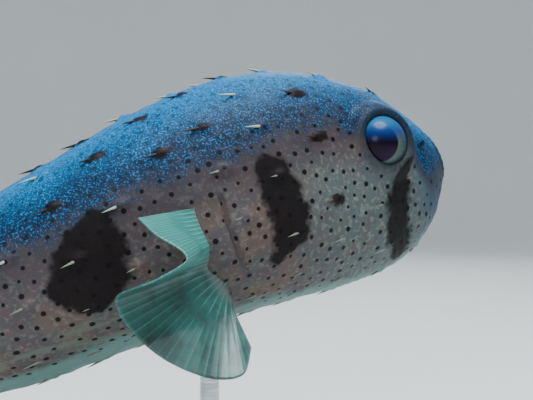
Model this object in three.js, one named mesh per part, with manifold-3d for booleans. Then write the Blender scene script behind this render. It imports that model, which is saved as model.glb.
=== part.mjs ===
// A life-size museum model of a three-bar porcupinefish, swimming head up, on a rod and a base.
// Millimetres, +X the way the fish swims, +Y its left, +Z up. The origin is the middle of the underside.
import * as THREE from "three";
import { mergeVertices } from "three/addons/utils/BufferGeometryUtils.js";
import Module from "manifold-3d";

const wasm = await Module();
wasm.setup();
const { clamp, degToRad, lerp } = THREE.MathUtils;

// ---------------------------------------------------------------- driving dimensions

const STANDARD_LENGTH = 300; // lips to the root of the tail fin
const PITCH = degToRad(20); // how far the head is raised
const SNOUT_X = 124; // the lips, ahead of the base's middle
const SNOUT_Z = 168; // the lips, above the floor
const PART_GAP = 0.3; // the clear cut between two touching pieces
const COAT_DEPTH = 0.5; // how far the solids stand outside the living skin

// The body's sections, as shares of the standard length. Each is named for what it passes through.
// "at" is behind the lips; back and belly are heights; half is half the width; square is the boxiness.
const SECTIONS = [
  { name: "lips", at: 0.0, back: 0.03, belly: -0.032, half: 0.042, square: 2.1 },
  { name: "chin", at: 0.02, back: 0.068, belly: -0.063, half: 0.068, square: 2.2 },
  { name: "nostrils", at: 0.06, back: 0.114, belly: -0.102, half: 0.098, square: 2.6 },
  { name: "eyes", at: 0.12, back: 0.157, belly: -0.127, half: 0.121, square: 2.8 },
  { name: "nape", at: 0.2, back: 0.196, belly: -0.128, half: 0.138, square: 2.7 },
  { name: "cheeks", at: 0.3, back: 0.213, belly: -0.113, half: 0.152, square: 2.5 },
  { name: "shoulder", at: 0.42, back: 0.203, belly: -0.096, half: 0.154, square: 2.4 },
  { name: "waist", at: 0.54, back: 0.177, belly: -0.087, half: 0.143, square: 2.35 },
  { name: "flank", at: 0.66, back: 0.149, belly: -0.081, half: 0.117, square: 2.3 },
  { name: "vent", at: 0.78, back: 0.114, belly: -0.052, half: 0.077, square: 2.2 },
  { name: "stalk", at: 0.89, back: 0.079, belly: -0.01, half: 0.038, square: 2.1 },
  { name: "tail_root", at: 1.0, back: 0.069, belly: 0.002, half: 0.017, square: 2.0 },
];
const WIDEST = 0.45; // the widest level, as a share of the height above the belly
const BELLY_SQUARE = 2.15; // how boxy the belly is, all along
const BODY_GRID = { around: 28, along: 27, crowding: 1.55 }; // facets, closer together towards the head
const BODY_END = 2; // how far the stalk's rounded end stands behind the standard length

// The lips and the mouth inside them: rings ahead of (+) or behind (-) the first section.
const MOUTH_RINGS = [
  { ahead: 1.6, half: 11.6, high: 7.8 },
  { ahead: 2.4, half: 10.2, high: 5.8 },
  { ahead: 1.2, half: 9.3, high: 4.2 },
  { ahead: -3.0, half: 8.8, high: 3.8 },
  { ahead: -9.0, half: 7.6, high: 3.4 },
];

const TOOTH_ARCH = { half: 7.6, deep: 7.0, thick: 2.0, high: 5.4, gap: 0.8, behind: 6.8 };

const EYE = { behind: 38, out: 32, up: 17.6, radius: 12 };

// Soft swellings and hollows of each side. "turn" is in degrees above the widest level, round the section.
const SWELLINGS = [
  { name: "orbit", at: 0.118, turn: 32, spread: 14, height: 3.2 },
  { name: "snout_hollow", at: 0.056, turn: 52, spread: 10, height: -2.6 },
  { name: "gill_cover", at: 0.333, turn: -11, spread: 24, height: 2.2 },
  { name: "shoulder_pad", at: 0.403, turn: -10, spread: 13, height: 2.4 },
];

const NOSTRIL = { at: 0.061, turn: 22, ahead: 0.5, out: 0.8, up: 0.33, sides: 8 };

const HEAD_CUT = 0.368; // the gill openings, as a share of the standard length
const TAIL_CUT = 0.832; // the front of the tail stalk, as a share of the standard length

const SPINE = { length: 13.5, root: 1.4, sunk: 0.8, rise: 21, rise_below: 14.7, sides: 3, spacing: 19.5 };
const SPINE_ROWS = { first: 0.085, step: 0.066, count: 14, share_scatter: 0.008, turn_scatter: 0.3 };
const SPINE_CLEAR = { eye: 8, pectoral: 15, dorsal: 9, rod: 12, share: 0.05 }; // room left round them

const FIN_THICK = { root: 2.6, edge: 0.9 };

// The roots of the paired fins, top and bottom, on the right side.
const PECTORAL_ROOT = { top: [-121.2, -44.6, 20.1], bottom: [-120.6, -42.4, -15] };
const PECTORAL_GRID = { rays: 18, steps: 5, sunk: 0.06 };

// The right pectoral's rays: how far each tip is ahead, out and up from its root, "down" the root.
const PECTORAL_RAYS = [
  { down: 0.0, ahead: -24.5, out: 24, up: 6 },
  { down: 0.18, ahead: -23, out: 34, up: 7 },
  { down: 0.4, ahead: -18, out: 43, up: 5 },
  { down: 0.5, ahead: -29, out: 42, up: 6 },
  { down: 0.61, ahead: -41, out: 32, up: 7 },
  { down: 0.75, ahead: -36, out: 30, up: -7 },
  { down: 0.88, ahead: -22.5, out: 29, up: -18.5 },
  { down: 0.95, ahead: -11, out: 29, up: -20.5 },
  { down: 1.0, ahead: -4, out: 24, up: -13 },
];

// The fins of the middle plane: roots as shares of the standard length, leans and spreads in degrees.
const DORSAL = { root: [0.735, 0.825], lean: 38, spread: 44, length: 44, wave: 3, rays: 14, steps: 4 };
const ANAL = { root: [0.845, 0.765], lean: 140, spread: 42, length: 38, wave: -3, rays: 13, steps: 4 };
const MEDIAN_EDGE = { sunk: 0.08, least: 0.5, from: 0.06, to: 0.9, fullness: 0.7, bend: 0.12 };
const CAUDAL = { sunk: 2, inset: 1.5, spread: 17, length: 60, round: 9, corner: 3, sway: 5 };
const CAUDAL_GRID = { rays: 16, steps: 5 };

const STAND = { long: 190, wide: 112, thick: 14, rim: 2.5, rod: 4 };
const COLLAR = { radius: 11, high: 6, lip: 2 };
const ROD_AT = 0.405; // where the rod meets the belly, as a share of the standard length

// ---------------------------------------------------------------- colours

const finish = (color, roughness, metalness = 0) =>
  new THREE.MeshStandardMaterial({ color, roughness, metalness });
const SKIN = finish(0x7f868c, 0.6);
const FIN = finish(0x86b0a8, 0.5);
const EYEBALL = finish(0x2a2238, 0.1);
const TOOTH = finish(0xd9d2bc, 0.35);
const WOOD = finish(0x2c2723, 0.45);
const STEEL = finish(0xa9adb0, 0.3, 0.9);

// ---------------------------------------------------------------- small tools

// A smooth line through the values of one key of SECTIONS, read at any share of the length.
function smoothLine(key) {
  const x = SECTIONS.map((s) => Math.sqrt(s.at));
  const y = SECTIONS.map((s) => s[key]);
  const last = x.length - 1;
  const rise = x.slice(1).map((xi, i) => (y[i + 1] - y[i]) / (xi - x[i]));
  const slope = x.map((xi, i) => {
    if (i === 0) return rise[0];
    if (i === last) return rise[last - 1];
    const before = xi - x[i - 1];
    const after = x[i + 1] - xi;
    return (rise[i - 1] * after + rise[i] * before) / (before + after);
  });
  return (share) => {
    const at = Math.sqrt(clamp(share, 0, 1));
    const i = Math.min(last - 1, Math.max(0, x.findLastIndex((xi) => xi <= at)));
    const h = x[i + 1] - x[i];
    const t = (at - x[i]) / h;
    const [t2, t3] = [t * t, t * t * t];
    return (
      y[i] * (2 * t3 - 3 * t2 + 1) +
      slope[i] * h * (t3 - 2 * t2 + t) +
      y[i + 1] * (3 * t2 - 2 * t3) +
      slope[i + 1] * h * (t3 - t2)
    );
  };
}

const line = Object.fromEntries(["back", "belly", "half", "square"].map((key) => [key, smoothLine(key)]));

// A repeatable scatter between 0 and 1.
function scatter(a, b) {
  const value = Math.sin(a * 12.9898 + b * 78.233) * 43758.5453;
  return value - Math.floor(value);
}

// A closed solid from a three.js geometry, placed by a matrix.
function solid(geometry, matrix = new THREE.Matrix4()) {
  const bare = new THREE.BufferGeometry();
  bare.setAttribute("position", geometry.getAttribute("position").clone());
  if (geometry.index) bare.setIndex(geometry.index.clone());
  const merged = mergeVertices(bare.applyMatrix4(matrix), 1e-4);
  return new wasm.Manifold(
    new wasm.Mesh({
      numProp: 3,
      vertProperties: merged.getAttribute("position").array,
      triVerts: new Uint32Array(merged.index.array),
    }),
  );
}

// A named mesh from a solid.
function piece(name, body, material) {
  const made = body.getMesh();
  const geometry = new THREE.BufferGeometry();
  geometry.setAttribute("position", new THREE.BufferAttribute(made.vertProperties, 3));
  geometry.setIndex(new THREE.BufferAttribute(made.triVerts, 1));
  const mesh = new THREE.Mesh(geometry, material);
  mesh.name = name;
  return mesh;
}

// A closed geometry over rings of points, with a single point at each end.
function ringShell(rings, firstPole, lastPole) {
  const around = rings[0].length;
  const points = [...rings.flat(), firstPole, lastPole];
  const [first, last] = [points.length - 2, points.length - 1];
  const faces = [];
  const at = (ring, i) => ring * around + (i % around);
  for (let i = 0; i < around; i++) {
    faces.push(first, at(0, i), at(0, i + 1));
    for (let r = 0; r + 1 < rings.length; r++) {
      faces.push(at(r, i), at(r + 1, i), at(r + 1, i + 1));
      faces.push(at(r, i), at(r + 1, i + 1), at(r, i + 1));
    }
    faces.push(at(rings.length - 1, i), last, at(rings.length - 1, i + 1));
  }
  const geometry = new THREE.BufferGeometry().setFromPoints(points);
  geometry.setIndex(faces);
  return geometry;
}

// A closed plate over a grid of points: rows[i][j] is the middle surface and thick(i, j) its thickness.
function plate(rows, thick) {
  const [m, n] = [rows.length, rows[0].length];
  const normal = (i, j) => {
    const along = rows[Math.min(i + 1, m - 1)][j].clone().sub(rows[Math.max(i - 1, 0)][j]);
    const across = rows[i][Math.min(j + 1, n - 1)].clone().sub(rows[i][Math.max(j - 1, 0)]);
    return along.cross(across).normalize();
  };
  const moved = (i, j, sign) => rows[i][j].clone().addScaledVector(normal(i, j), (sign * thick(i, j)) / 2);
  const points = [1, -1].flatMap((sign) => rows.flatMap((row, i) => row.map((_, j) => moved(i, j, sign))));
  const faces = [];
  const top = (i, j) => i * n + j;
  const under = (i, j) => m * n + i * n + j;
  for (let i = 0; i + 1 < m; i++)
    for (let j = 0; j + 1 < n; j++) {
      const [p, q] = [i + 1, j + 1];
      faces.push(top(i, j), top(p, j), top(p, q), top(i, j), top(p, q), top(i, q));
      faces.push(under(i, j), under(p, q), under(p, j), under(i, j), under(i, q), under(p, q));
    }
  const rim = [];
  for (let j = 0; j < n; j++) rim.push([0, j]);
  for (let i = 1; i < m; i++) rim.push([i, n - 1]);
  for (let j = n - 2; j >= 0; j--) rim.push([m - 1, j]);
  for (let i = m - 2; i > 0; i--) rim.push([i, 0]);
  rim.forEach(([i, j], k) => {
    const [p, q] = rim[(k + 1) % rim.length];
    faces.push(top(i, j), top(p, q), under(p, q), top(i, j), under(p, q), under(i, j));
  });
  const geometry = new THREE.BufferGeometry().setFromPoints(points);
  geometry.setIndex(faces);
  return geometry;
}

// ---------------------------------------------------------------- the body's surface, in the fish's frame

// A section is boxier above its widest level than below it: a superellipse read by its true angle.
function sectionPoint(share, angle, grow) {
  const [back, belly] = [line.back(share), line.belly(share)];
  const level = belly + (back - belly) * WIDEST;
  const [c, s] = [Math.cos(angle), Math.sin(angle)];
  const power = s >= 0 ? line.square(share) : BELLY_SQUARE;
  const high = (s >= 0 ? back - level : level - belly) * STANDARD_LENGTH;
  const half = line.half(share) * STANDARD_LENGTH;
  const reach = (Math.abs(c / half) ** power + Math.abs(s / high) ** power) ** (-1 / power) + grow;
  return new THREE.Vector3(-share * STANDARD_LENGTH, reach * c, level * STANDARD_LENGTH + reach * s);
}

const swellingPlaces = SWELLINGS.flatMap(({ at, turn, spread, height }) => {
  const angle = degToRad(turn);
  return [angle, Math.PI - angle].map((side) => ({ centre: sectionPoint(at, side, 0), spread, height }));
});

// The body's surface: a section, raised or hollowed along its own radius by the swellings near by.
function bodyPoint(share, angle, grow = COAT_DEPTH) {
  const plain = sectionPoint(share, angle, 0);
  const raise = swellingPlaces.reduce((sum, { centre, spread, height }) => {
    return sum + height * Math.exp(-plain.distanceToSquared(centre) / spread ** 2);
  }, 0);
  return sectionPoint(share, angle, grow + raise);
}

// The whole body as one solid, from the floor of the mouth to the root of the tail fin.
function bodySolid(grow) {
  const { around, along, crowding } = BODY_GRID;
  const turn = (i) => (2 * Math.PI * i) / around;
  const mouth = MOUTH_RINGS.map(({ ahead, half, high }) =>
    Array.from({ length: around }, (_, i) => {
      return new THREE.Vector3(ahead, half * Math.cos(turn(i)), high * Math.sin(turn(i)));
    }),
  ).reverse();
  const skin = Array.from({ length: along + 1 }, (_, r) => {
    const share = (r / along) ** crowding;
    return Array.from({ length: around }, (_, i) => bodyPoint(share, turn(i), grow));
  });
  const middle = 0.5 * (line.back(1) + line.belly(1)) * STANDARD_LENGTH;
  const end = new THREE.Vector3(-STANDARD_LENGTH - BODY_END, 0, middle);
  const throat = new THREE.Vector3(MOUTH_RINGS.at(-1).ahead - 1, 0, 0);
  return solid(ringShell([...mouth, ...skin], throat, end));
}

// A slab of space across the fish between two shares of its length, to cut the body with.
function slab(from, to) {
  const length = (to - from) * STANDARD_LENGTH;
  const box = new THREE.BoxGeometry(length, STANDARD_LENGTH, STANDARD_LENGTH);
  return solid(box, new THREE.Matrix4().makeTranslation(-from * STANDARD_LENGTH - length / 2, 0, 0));
}

// ---------------------------------------------------------------- spines

// The middle of a side's eye: -1 is the right side and +1 the left.
const eyeCentre = (side) => new THREE.Vector3(-EYE.behind, side * EYE.out, EYE.up);
const mirrored = (v, side) => new THREE.Vector3(v.x, -side * v.y, v.z); // from the right side to a side

// Whether a spine at this place stands clear of the eyes, the fins and the rod.
function spineIsClear(point, share, angle) {
  const side = Math.sign(point.y) || 1;
  const root = Object.values(PECTORAL_ROOT).map((p) => mirrored(new THREE.Vector3(...p), side));
  const nearest = new THREE.Line3(...root).closestPointToPoint(point, true, new THREE.Vector3());
  const byEye = point.distanceTo(eyeCentre(side)) < EYE.radius + SPINE_CLEAR.eye;
  const byPectoral = nearest.distanceTo(point) < SPINE_CLEAR.pectoral;
  const inMiddle = (room) => Math.abs(point.y) < room;
  const byDorsal = inMiddle(SPINE_CLEAR.dorsal) && share > DORSAL.root[0] - SPINE_CLEAR.share;
  const alongRod = Math.sin(angle) < 0 && Math.abs(share - ROD_AT) < SPINE_CLEAR.share;
  return !byEye && !byPectoral && !byDorsal && !(inMiddle(SPINE_CLEAR.rod) && alongRod);
}

// One spine leans back out of the skin at a low angle, lower on the belly.
function spineSolid(share, angle) {
  const root = bodyPoint(share, angle);
  const behind = bodyPoint(share + 0.01, angle).sub(root).normalize();
  const beside = bodyPoint(share, angle + 0.02).sub(root).normalize();
  const outward = behind.clone().cross(beside).normalize();
  const rise = degToRad(Math.sin(angle) > -0.2 ? SPINE.rise : SPINE.rise_below);
  const lean = behind.multiplyScalar(Math.cos(rise)).addScaledVector(outward, Math.sin(rise));
  const cone = new THREE.ConeGeometry(SPINE.root, SPINE.length, SPINE.sides, 1);
  cone.translate(0, SPINE.length / 2, 0);
  const turn = new THREE.Quaternion().setFromUnitVectors(new THREE.Vector3(0, 1, 0), lean);
  const place = root.addScaledVector(outward, -SPINE.sunk);
  return solid(cone, new THREE.Matrix4().compose(place, turn, new THREE.Vector3(1, 1, 1)));
}

// Rows of spines, each row set half a step round from the one before, with a little scatter.
function spinesBetween(from, to) {
  const found = [];
  for (let row = 0; row < SPINE_ROWS.count; row++) {
    const middle = SPINE_ROWS.first + row * SPINE_ROWS.step;
    if (middle < from || middle >= to) continue;
    const high = (line.back(middle) - line.belly(middle)) / 2;
    const girth = Math.PI * (line.half(middle) + high) * STANDARD_LENGTH;
    const columns = 2 * Math.round(girth / (2 * SPINE.spacing));
    for (let column = 0; column < columns; column++) {
      const share = middle + SPINE_ROWS.share_scatter * (scatter(row, column) - 0.5);
      const nudge = SPINE_ROWS.turn_scatter * (scatter(column, row + 40) - 0.5);
      const angle = (2 * Math.PI * (column + (row % 2) / 2 + nudge)) / columns;
      if (spineIsClear(bodyPoint(share, angle), share, angle)) found.push(spineSolid(share, angle));
    }
  }
  return found;
}

// ---------------------------------------------------------------- head, trunk and tail

const FACET_ROOM = 0.2; // what a facet's middle may lie off the true surface
const wholeBody = bodySolid(COAT_DEPTH);
const bodyRoom = bodySolid(COAT_DEPTH + PART_GAP + FACET_ROOM); // what other pieces keep out of

function eyeSolid(side, radius) {
  const ball = new THREE.SphereGeometry(radius, 16, 10);
  return solid(ball, new THREE.Matrix4().makeTranslation(...eyeCentre(side)));
}

const headSolid = wholeBody
  .intersect(slab(-0.05, HEAD_CUT))
  .subtract(eyeSolid(1, EYE.radius + PART_GAP))
  .subtract(eyeSolid(-1, EYE.radius + PART_GAP))
  .subtract(toothSolid(1, PART_GAP))
  .subtract(toothSolid(-1, PART_GAP));
const halfGap = PART_GAP / 2 / STANDARD_LENGTH;
const trunkSolid = wholeBody.intersect(slab(HEAD_CUT + 2 * halfGap, TAIL_CUT));
const tailSolid = wholeBody.intersect(slab(TAIL_CUT + 2 * halfGap, 1.05));

const withSpines = (body, from, to) => wasm.Manifold.union([body, ...spinesBetween(from, to)]);

// ---------------------------------------------------------------- nostrils and teeth

// A short open nasal flap ahead of each eye: a cup on the skin.
function nostrilSolid(side) {
  const profile = [
    [0, -1],
    [1.3, -1],
    [1.1, 1.2],
    [1.5, 2.4],
    [0.9, 2.4],
    [0, 1.4],
  ].map(([r, h]) => new THREE.Vector2(r, h));
  const cup = new THREE.LatheGeometry(profile, NOSTRIL.sides);
  const above = degToRad(NOSTRIL.turn);
  const root = bodyPoint(NOSTRIL.at, side > 0 ? above : Math.PI - above, COAT_DEPTH + PART_GAP);
  const outward = new THREE.Vector3(NOSTRIL.ahead, side * NOSTRIL.out, NOSTRIL.up).normalize();
  const turn = new THREE.Quaternion().setFromUnitVectors(new THREE.Vector3(0, 1, 0), outward);
  const placed = new THREE.Matrix4().compose(root, turn, new THREE.Vector3(1, 1, 1));
  return solid(cup, placed).subtract(bodyRoom);
}

// A beak plate: a bent strip round the front of the jaw, upper (+1) or lower (-1), its root set in the jaw.
function toothSolid(jaw, grow = 0) {
  const { half, deep, thick, high, gap, behind } = TOOTH_ARCH;
  const outline = new THREE.Shape();
  const [outer, inner] = [grow, -thick - grow];
  outline.absellipse(0, 0, deep + outer, half + outer, -Math.PI / 2, Math.PI / 2, false);
  outline.absellipse(0, 0, deep + inner, half + inner, Math.PI / 2, -Math.PI / 2, true);
  const depth = high + 2 * grow;
  const strip = new THREE.ExtrudeGeometry(outline, { depth, bevelEnabled: false, curveSegments: 7 });
  if (grow > 0) strip.scale(1 + grow / deep, 1, 1);
  const low = (jaw > 0 ? gap / 2 : -gap / 2 - high) - grow;
  return solid(strip, new THREE.Matrix4().makeTranslation(-behind - grow, 0, low));
}

// ---------------------------------------------------------------- fins

// Reads a curve through named keys of a table at the table's own "down" values.
function between(table, keys, at) {
  const i = Math.min(table.length - 2, Math.max(0, table.findLastIndex((row) => row.down <= at)));
  const t = (at - table[i].down) / (table[i + 1].down - table[i].down);
  return keys.map((key) => {
    const near = (k) => table[clamp(k, 0, table.length - 1)];
    const tangent = (k) => {
      const [a, b] = [near(k - 1), near(k + 1)];
      return ((b[key] - a[key]) / (b.down - a.down)) * (table[i + 1].down - table[i].down);
    };
    const [t2, t3] = [t * t, t * t * t];
    return (
      table[i][key] * (2 * t3 - 3 * t2 + 1) +
      tangent(i) * (t3 - 2 * t2 + t) +
      table[i + 1][key] * (3 * t2 - 2 * t3) +
      tangent(i + 1) * (t3 - t2)
    );
  });
}

// A fin's thickness falls from root to edge, quickly at first.
const finThickness = (steps) => (i, j) => lerp(FIN_THICK.root, FIN_THICK.edge, Math.sqrt(j / steps));

// The fan behind a gill opening, folded in two lobes.
function pectoralSolid(side) {
  const { rays, steps, sunk } = PECTORAL_GRID;
  const [top, bottom] = [PECTORAL_ROOT.top, PECTORAL_ROOT.bottom].map((p) => new THREE.Vector3(...p));
  const rows = Array.from({ length: rays + 1 }, (_, i) => {
    const down = i / rays;
    const [ahead, out, up] = between(PECTORAL_RAYS, ["ahead", "out", "up"], down);
    const reach = new THREE.Vector3(ahead, -out, up);
    return Array.from({ length: steps + 1 }, (_, j) => {
      const share = lerp(-sunk, 1, j / steps);
      return mirrored(top.clone().lerp(bottom, down).addScaledVector(reach, share), side);
    });
  });
  if (side < 0) rows.reverse();
  return solid(plate(rows, finThickness(steps))).subtract(bodyRoom);
}

// A fin in the middle plane: rays fan out from a root line, with a rounded edge and a slight wave.
function medianFinSolid({ root, lean, spread, length, wave, rays, steps }, level) {
  const { sunk, least, from, to, fullness, bend } = MEDIAN_EDGE;
  const rows = Array.from({ length: rays + 1 }, (_, i) => {
    const share = i / rays;
    const at = lerp(root[0], root[1], share);
    const start = new THREE.Vector3(-at * STANDARD_LENGTH, 0, level(at) * STANDARD_LENGTH);
    const tilt = degToRad(lean + spread * (share - 0.5));
    const bulge = Math.sin(Math.PI * lerp(from, to, share)) ** fullness;
    const reach = length * lerp(least, 1, bulge);
    return Array.from({ length: steps + 1 }, (_, j) => {
      const out = lerp(-sunk, 1, j / steps);
      const sway = wave * Math.sin(Math.PI * (1.3 * share + 0.5 * out)) * out;
      const bent = tilt + bend * out * Math.sign(Math.cos(tilt));
      return new THREE.Vector3(-Math.sin(bent) * reach * out, sway, Math.cos(bent) * reach * out).add(start);
    });
  });
  return solid(plate(rows, finThickness(steps))).subtract(bodyRoom);
}

// The tail fin: it fans out behind the stalk, with a rounded edge, and sways to one side.
function caudalSolid() {
  const { sunk, inset, spread, length, round, corner, sway } = CAUDAL;
  const { rays, steps } = CAUDAL_GRID;
  const [high, low] = [line.back(1), line.belly(1)].map((h) => h * STANDARD_LENGTH);
  const rows = Array.from({ length: rays + 1 }, (_, i) => {
    const share = i / rays;
    const across = 2 * share - 1;
    const height = lerp(low + inset, high - inset, share);
    const start = new THREE.Vector3(-STANDARD_LENGTH + sunk, 0, height);
    const tilt = degToRad(spread * across);
    const reach = length - round * across ** 2 - corner * across ** 6;
    return Array.from({ length: steps + 1 }, (_, j) => {
      const out = j / steps;
      const aside = sway * out ** 2 * Math.sin(2.1 * across + 0.5);
      return new THREE.Vector3(-Math.cos(tilt) * reach * out, aside, Math.sin(tilt) * reach * out).add(start);
    });
  });
  return solid(plate(rows, finThickness(steps))).subtract(bodyRoom);
}

// ---------------------------------------------------------------- the fish, pitched up over its stand

const fish = new THREE.Group();
fish.rotation.y = -PITCH;
fish.position.set(SNOUT_X, 0, SNOUT_Z);
fish.updateMatrixWorld(true);

fish.add(piece("head", withSpines(headSolid, 0, HEAD_CUT), SKIN));
fish.add(piece("trunk", withSpines(trunkSolid, HEAD_CUT, TAIL_CUT), SKIN));
fish.add(piece("tail_stalk", withSpines(tailSolid, TAIL_CUT, 1), SKIN));
for (const [sideName, side] of [
  ["right", -1],
  ["left", 1],
]) {
  fish.add(piece("eye_" + sideName, eyeSolid(side, EYE.radius), EYEBALL));
  fish.add(piece("nostril_" + sideName, nostrilSolid(side), SKIN));
  fish.add(piece("pectoral_fin_" + sideName, pectoralSolid(side), FIN));
}
fish.add(piece("tooth_plate_upper", toothSolid(1), TOOTH));
fish.add(piece("tooth_plate_lower", toothSolid(-1), TOOTH));
fish.add(piece("dorsal_fin", medianFinSolid(DORSAL, line.back), FIN));
fish.add(piece("anal_fin", medianFinSolid(ANAL, line.belly), FIN));
fish.add(piece("caudal_fin", caudalSolid(), FIN));

// ---------------------------------------------------------------- the stand

// An oval plate with a chamfered top edge: both edges are bevelled first, and the lower bevel is cut away.
function standBaseSolid() {
  const outline = new THREE.Shape();
  const [a, b] = [STAND.long / 2 - STAND.rim, STAND.wide / 2 - STAND.rim];
  outline.absellipse(0, 0, a, b, 0, 2 * Math.PI, false);
  const options = { depth: STAND.thick - STAND.rim, curveSegments: 20, bevelSize: STAND.rim };
  const bevel = { bevelThickness: STAND.rim, bevelSegments: 1 };
  const oval = new THREE.ExtrudeGeometry(outline, { ...options, ...bevel });
  const foot = new THREE.BoxGeometry(STAND.long, STAND.wide, STAND.thick);
  foot.translate(0, 0, STAND.thick / 2);
  return solid(oval).intersect(solid(foot));
}

const rodTop = new THREE.Vector3(-ROD_AT * STANDARD_LENGTH, 0, line.belly(ROD_AT) * STANDARD_LENGTH);
fish.localToWorld(rodTop);

const ROUND_SIDES = 20;
const roomInWorld = bodyRoom.transform(fish.matrixWorld.elements);

// A rod from the base to the belly, its top cut to the belly's form.
function standRodSolid() {
  const [low, high] = [STAND.thick + PART_GAP, rodTop.z + 3 * STAND.rod];
  const rod = new THREE.CylinderGeometry(STAND.rod, STAND.rod, high - low, ROUND_SIDES);
  rod.rotateX(Math.PI / 2);
  rod.translate(rodTop.x, 0, (low + high) / 2);
  return solid(rod).subtract(roomInWorld);
}

// A ring that holds the rod upright on the base.
function standCollarSolid() {
  const [low, high] = [STAND.thick + PART_GAP, STAND.thick + COLLAR.high];
  const profile = [
    [STAND.rod + PART_GAP, low],
    [COLLAR.radius, low],
    [COLLAR.radius, low + COLLAR.lip],
    [STAND.rod + COLLAR.lip, high],
    [STAND.rod + PART_GAP, high],
    [STAND.rod + PART_GAP, low],
  ].map(([r, z]) => new THREE.Vector2(r, z));
  const ring = new THREE.LatheGeometry(profile, ROUND_SIDES);
  ring.rotateX(Math.PI / 2);
  ring.translate(rodTop.x, 0, 0);
  return solid(ring);
}

const stand = new THREE.Group();
stand.add(piece("stand_base", standBaseSolid(), WOOD));
stand.add(piece("stand_rod", standRodSolid(), STEEL));
stand.add(piece("stand_collar", standCollarSolid(), STEEL));

const model = new THREE.Group();
model.add(fish, stand);

export default model;
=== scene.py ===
"""A three-bar porcupinefish, life size, dressed over its solids and set on a display stand.

The fish is worked out in its own frame, in millimetres: x forward from the lips, y to its left, z up, with
the head level. One placement then pitches it up over the stand and turns it to metres, the scene's units.
"""

from __future__ import annotations

import logging
import math
from dataclasses import dataclass, field
from enum import Enum

import bpy
import numpy as np
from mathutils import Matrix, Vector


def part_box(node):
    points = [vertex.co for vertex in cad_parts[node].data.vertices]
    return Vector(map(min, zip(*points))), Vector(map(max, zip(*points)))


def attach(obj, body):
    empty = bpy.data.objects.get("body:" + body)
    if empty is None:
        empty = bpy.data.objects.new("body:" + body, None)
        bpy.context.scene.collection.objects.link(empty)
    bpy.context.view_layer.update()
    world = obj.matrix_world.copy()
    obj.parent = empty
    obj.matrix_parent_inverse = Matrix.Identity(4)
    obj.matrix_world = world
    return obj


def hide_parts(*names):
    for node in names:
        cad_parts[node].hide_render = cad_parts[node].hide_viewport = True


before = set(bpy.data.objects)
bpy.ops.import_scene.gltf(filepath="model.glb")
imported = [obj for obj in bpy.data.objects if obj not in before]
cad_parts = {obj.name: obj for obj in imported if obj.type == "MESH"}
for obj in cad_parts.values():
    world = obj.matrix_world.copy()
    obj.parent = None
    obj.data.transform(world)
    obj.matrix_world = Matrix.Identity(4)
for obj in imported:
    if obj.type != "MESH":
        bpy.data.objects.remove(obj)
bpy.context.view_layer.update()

LOG = logging.getLogger("porcupinefish")
MM = 0.001
SEED = 20
FAR = 99.0  # a distance that no marking reaches
Triple = tuple[float, float, float]

# ------------------------------------------------------------------ driving dimensions, millimetres

STANDARD_LENGTH = 300.0
PITCH = math.radians(20.0)
EYE_BEHIND, EYE_OUT, EYE_UP, EYE_RADIUS = 38.0, 32.0, 17.6, 11.9
LID_OPENING = 10.3
FIN_THICK, FIN_FALL = 1.9, 1.35  # a fin's thickness at its root, and how much of it is gone at the edge
FIN_REACH = 0.992  # how far the rays go, as a share of their full length
EYE_CLEAR, FIN_CLEAR = 20.0, 15.0  # how far spines keep from an eye's middle and a pectoral's root


class Side(Enum):
    """The two sides of the fish; the value is the sign of y on that side."""

    RIGHT = -1
    LEFT = 1

    @property
    def word(self) -> str:
        """The side's name, as it stands in the names of the nodes."""
        return self.name.lower()


def smooth_step(low: float, high: float, value: np.ndarray) -> np.ndarray:
    """A smooth rise from 0 at low to 1 at high.

    Args:
        low: Where the rise starts.
        high: Where it ends; it may lie below low, which turns the rise into a fall.
        value: What is measured against the two.

    Returns:
        t * t * (3 - 2 t), with t the share of the way from low to high, kept within 0 and 1.
    """
    t = np.clip((value - low) / (high - low), 0.0, 1.0)
    return t * t * (3.0 - 2.0 * t)


def scatter(a: np.ndarray, b: np.ndarray) -> np.ndarray:
    """A repeatable scatter between 0 and 1: the fraction of 43758.5453 sin(12.9898 a + 78.233 b)."""
    value = np.sin(np.asarray(a) * 12.9898 + np.asarray(b) * 78.233) * 43758.5453
    return value - np.floor(value)


def ripple(points: np.ndarray, size: float, seed: int, waves: int = 14) -> np.ndarray:
    """A soft three-dimensional unevenness.

    Args:
        points: Places in millimetres, with the coordinates in the last axis.
        size: The length of the waves, in millimetres.
        seed: What the directions and phases of the waves are drawn from.
        waves: How many plane waves are added.

    Returns:
        The sum of sin(2 pi p . d / length + phase) over random directions d, with lengths of 0.7 to 1.5 times
        the size, divided by the root of their number.
    """
    draw = np.random.default_rng(seed)
    directions = draw.normal(size=(waves, 3))
    directions /= np.linalg.norm(directions, axis=1, keepdims=True)
    lengths = size * draw.uniform(0.7, 1.5, waves)
    phases = draw.uniform(0, 2 * math.pi, waves)
    total = np.zeros(points.shape[:-1])
    for direction, length, phase in zip(directions, lengths, phases):
        total += np.sin(points @ direction * (2 * math.pi / length) + phase)
    return total / math.sqrt(waves)


def unit(vectors: np.ndarray) -> np.ndarray:
    """Each vector divided by its length."""
    return vectors / np.maximum(np.linalg.norm(vectors, axis=-1, keepdims=True), 1e-9)


def circle(count: int) -> np.ndarray:
    """Evenly spaced angles round a full turn."""
    return 2 * math.pi * np.arange(count) / count


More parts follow.
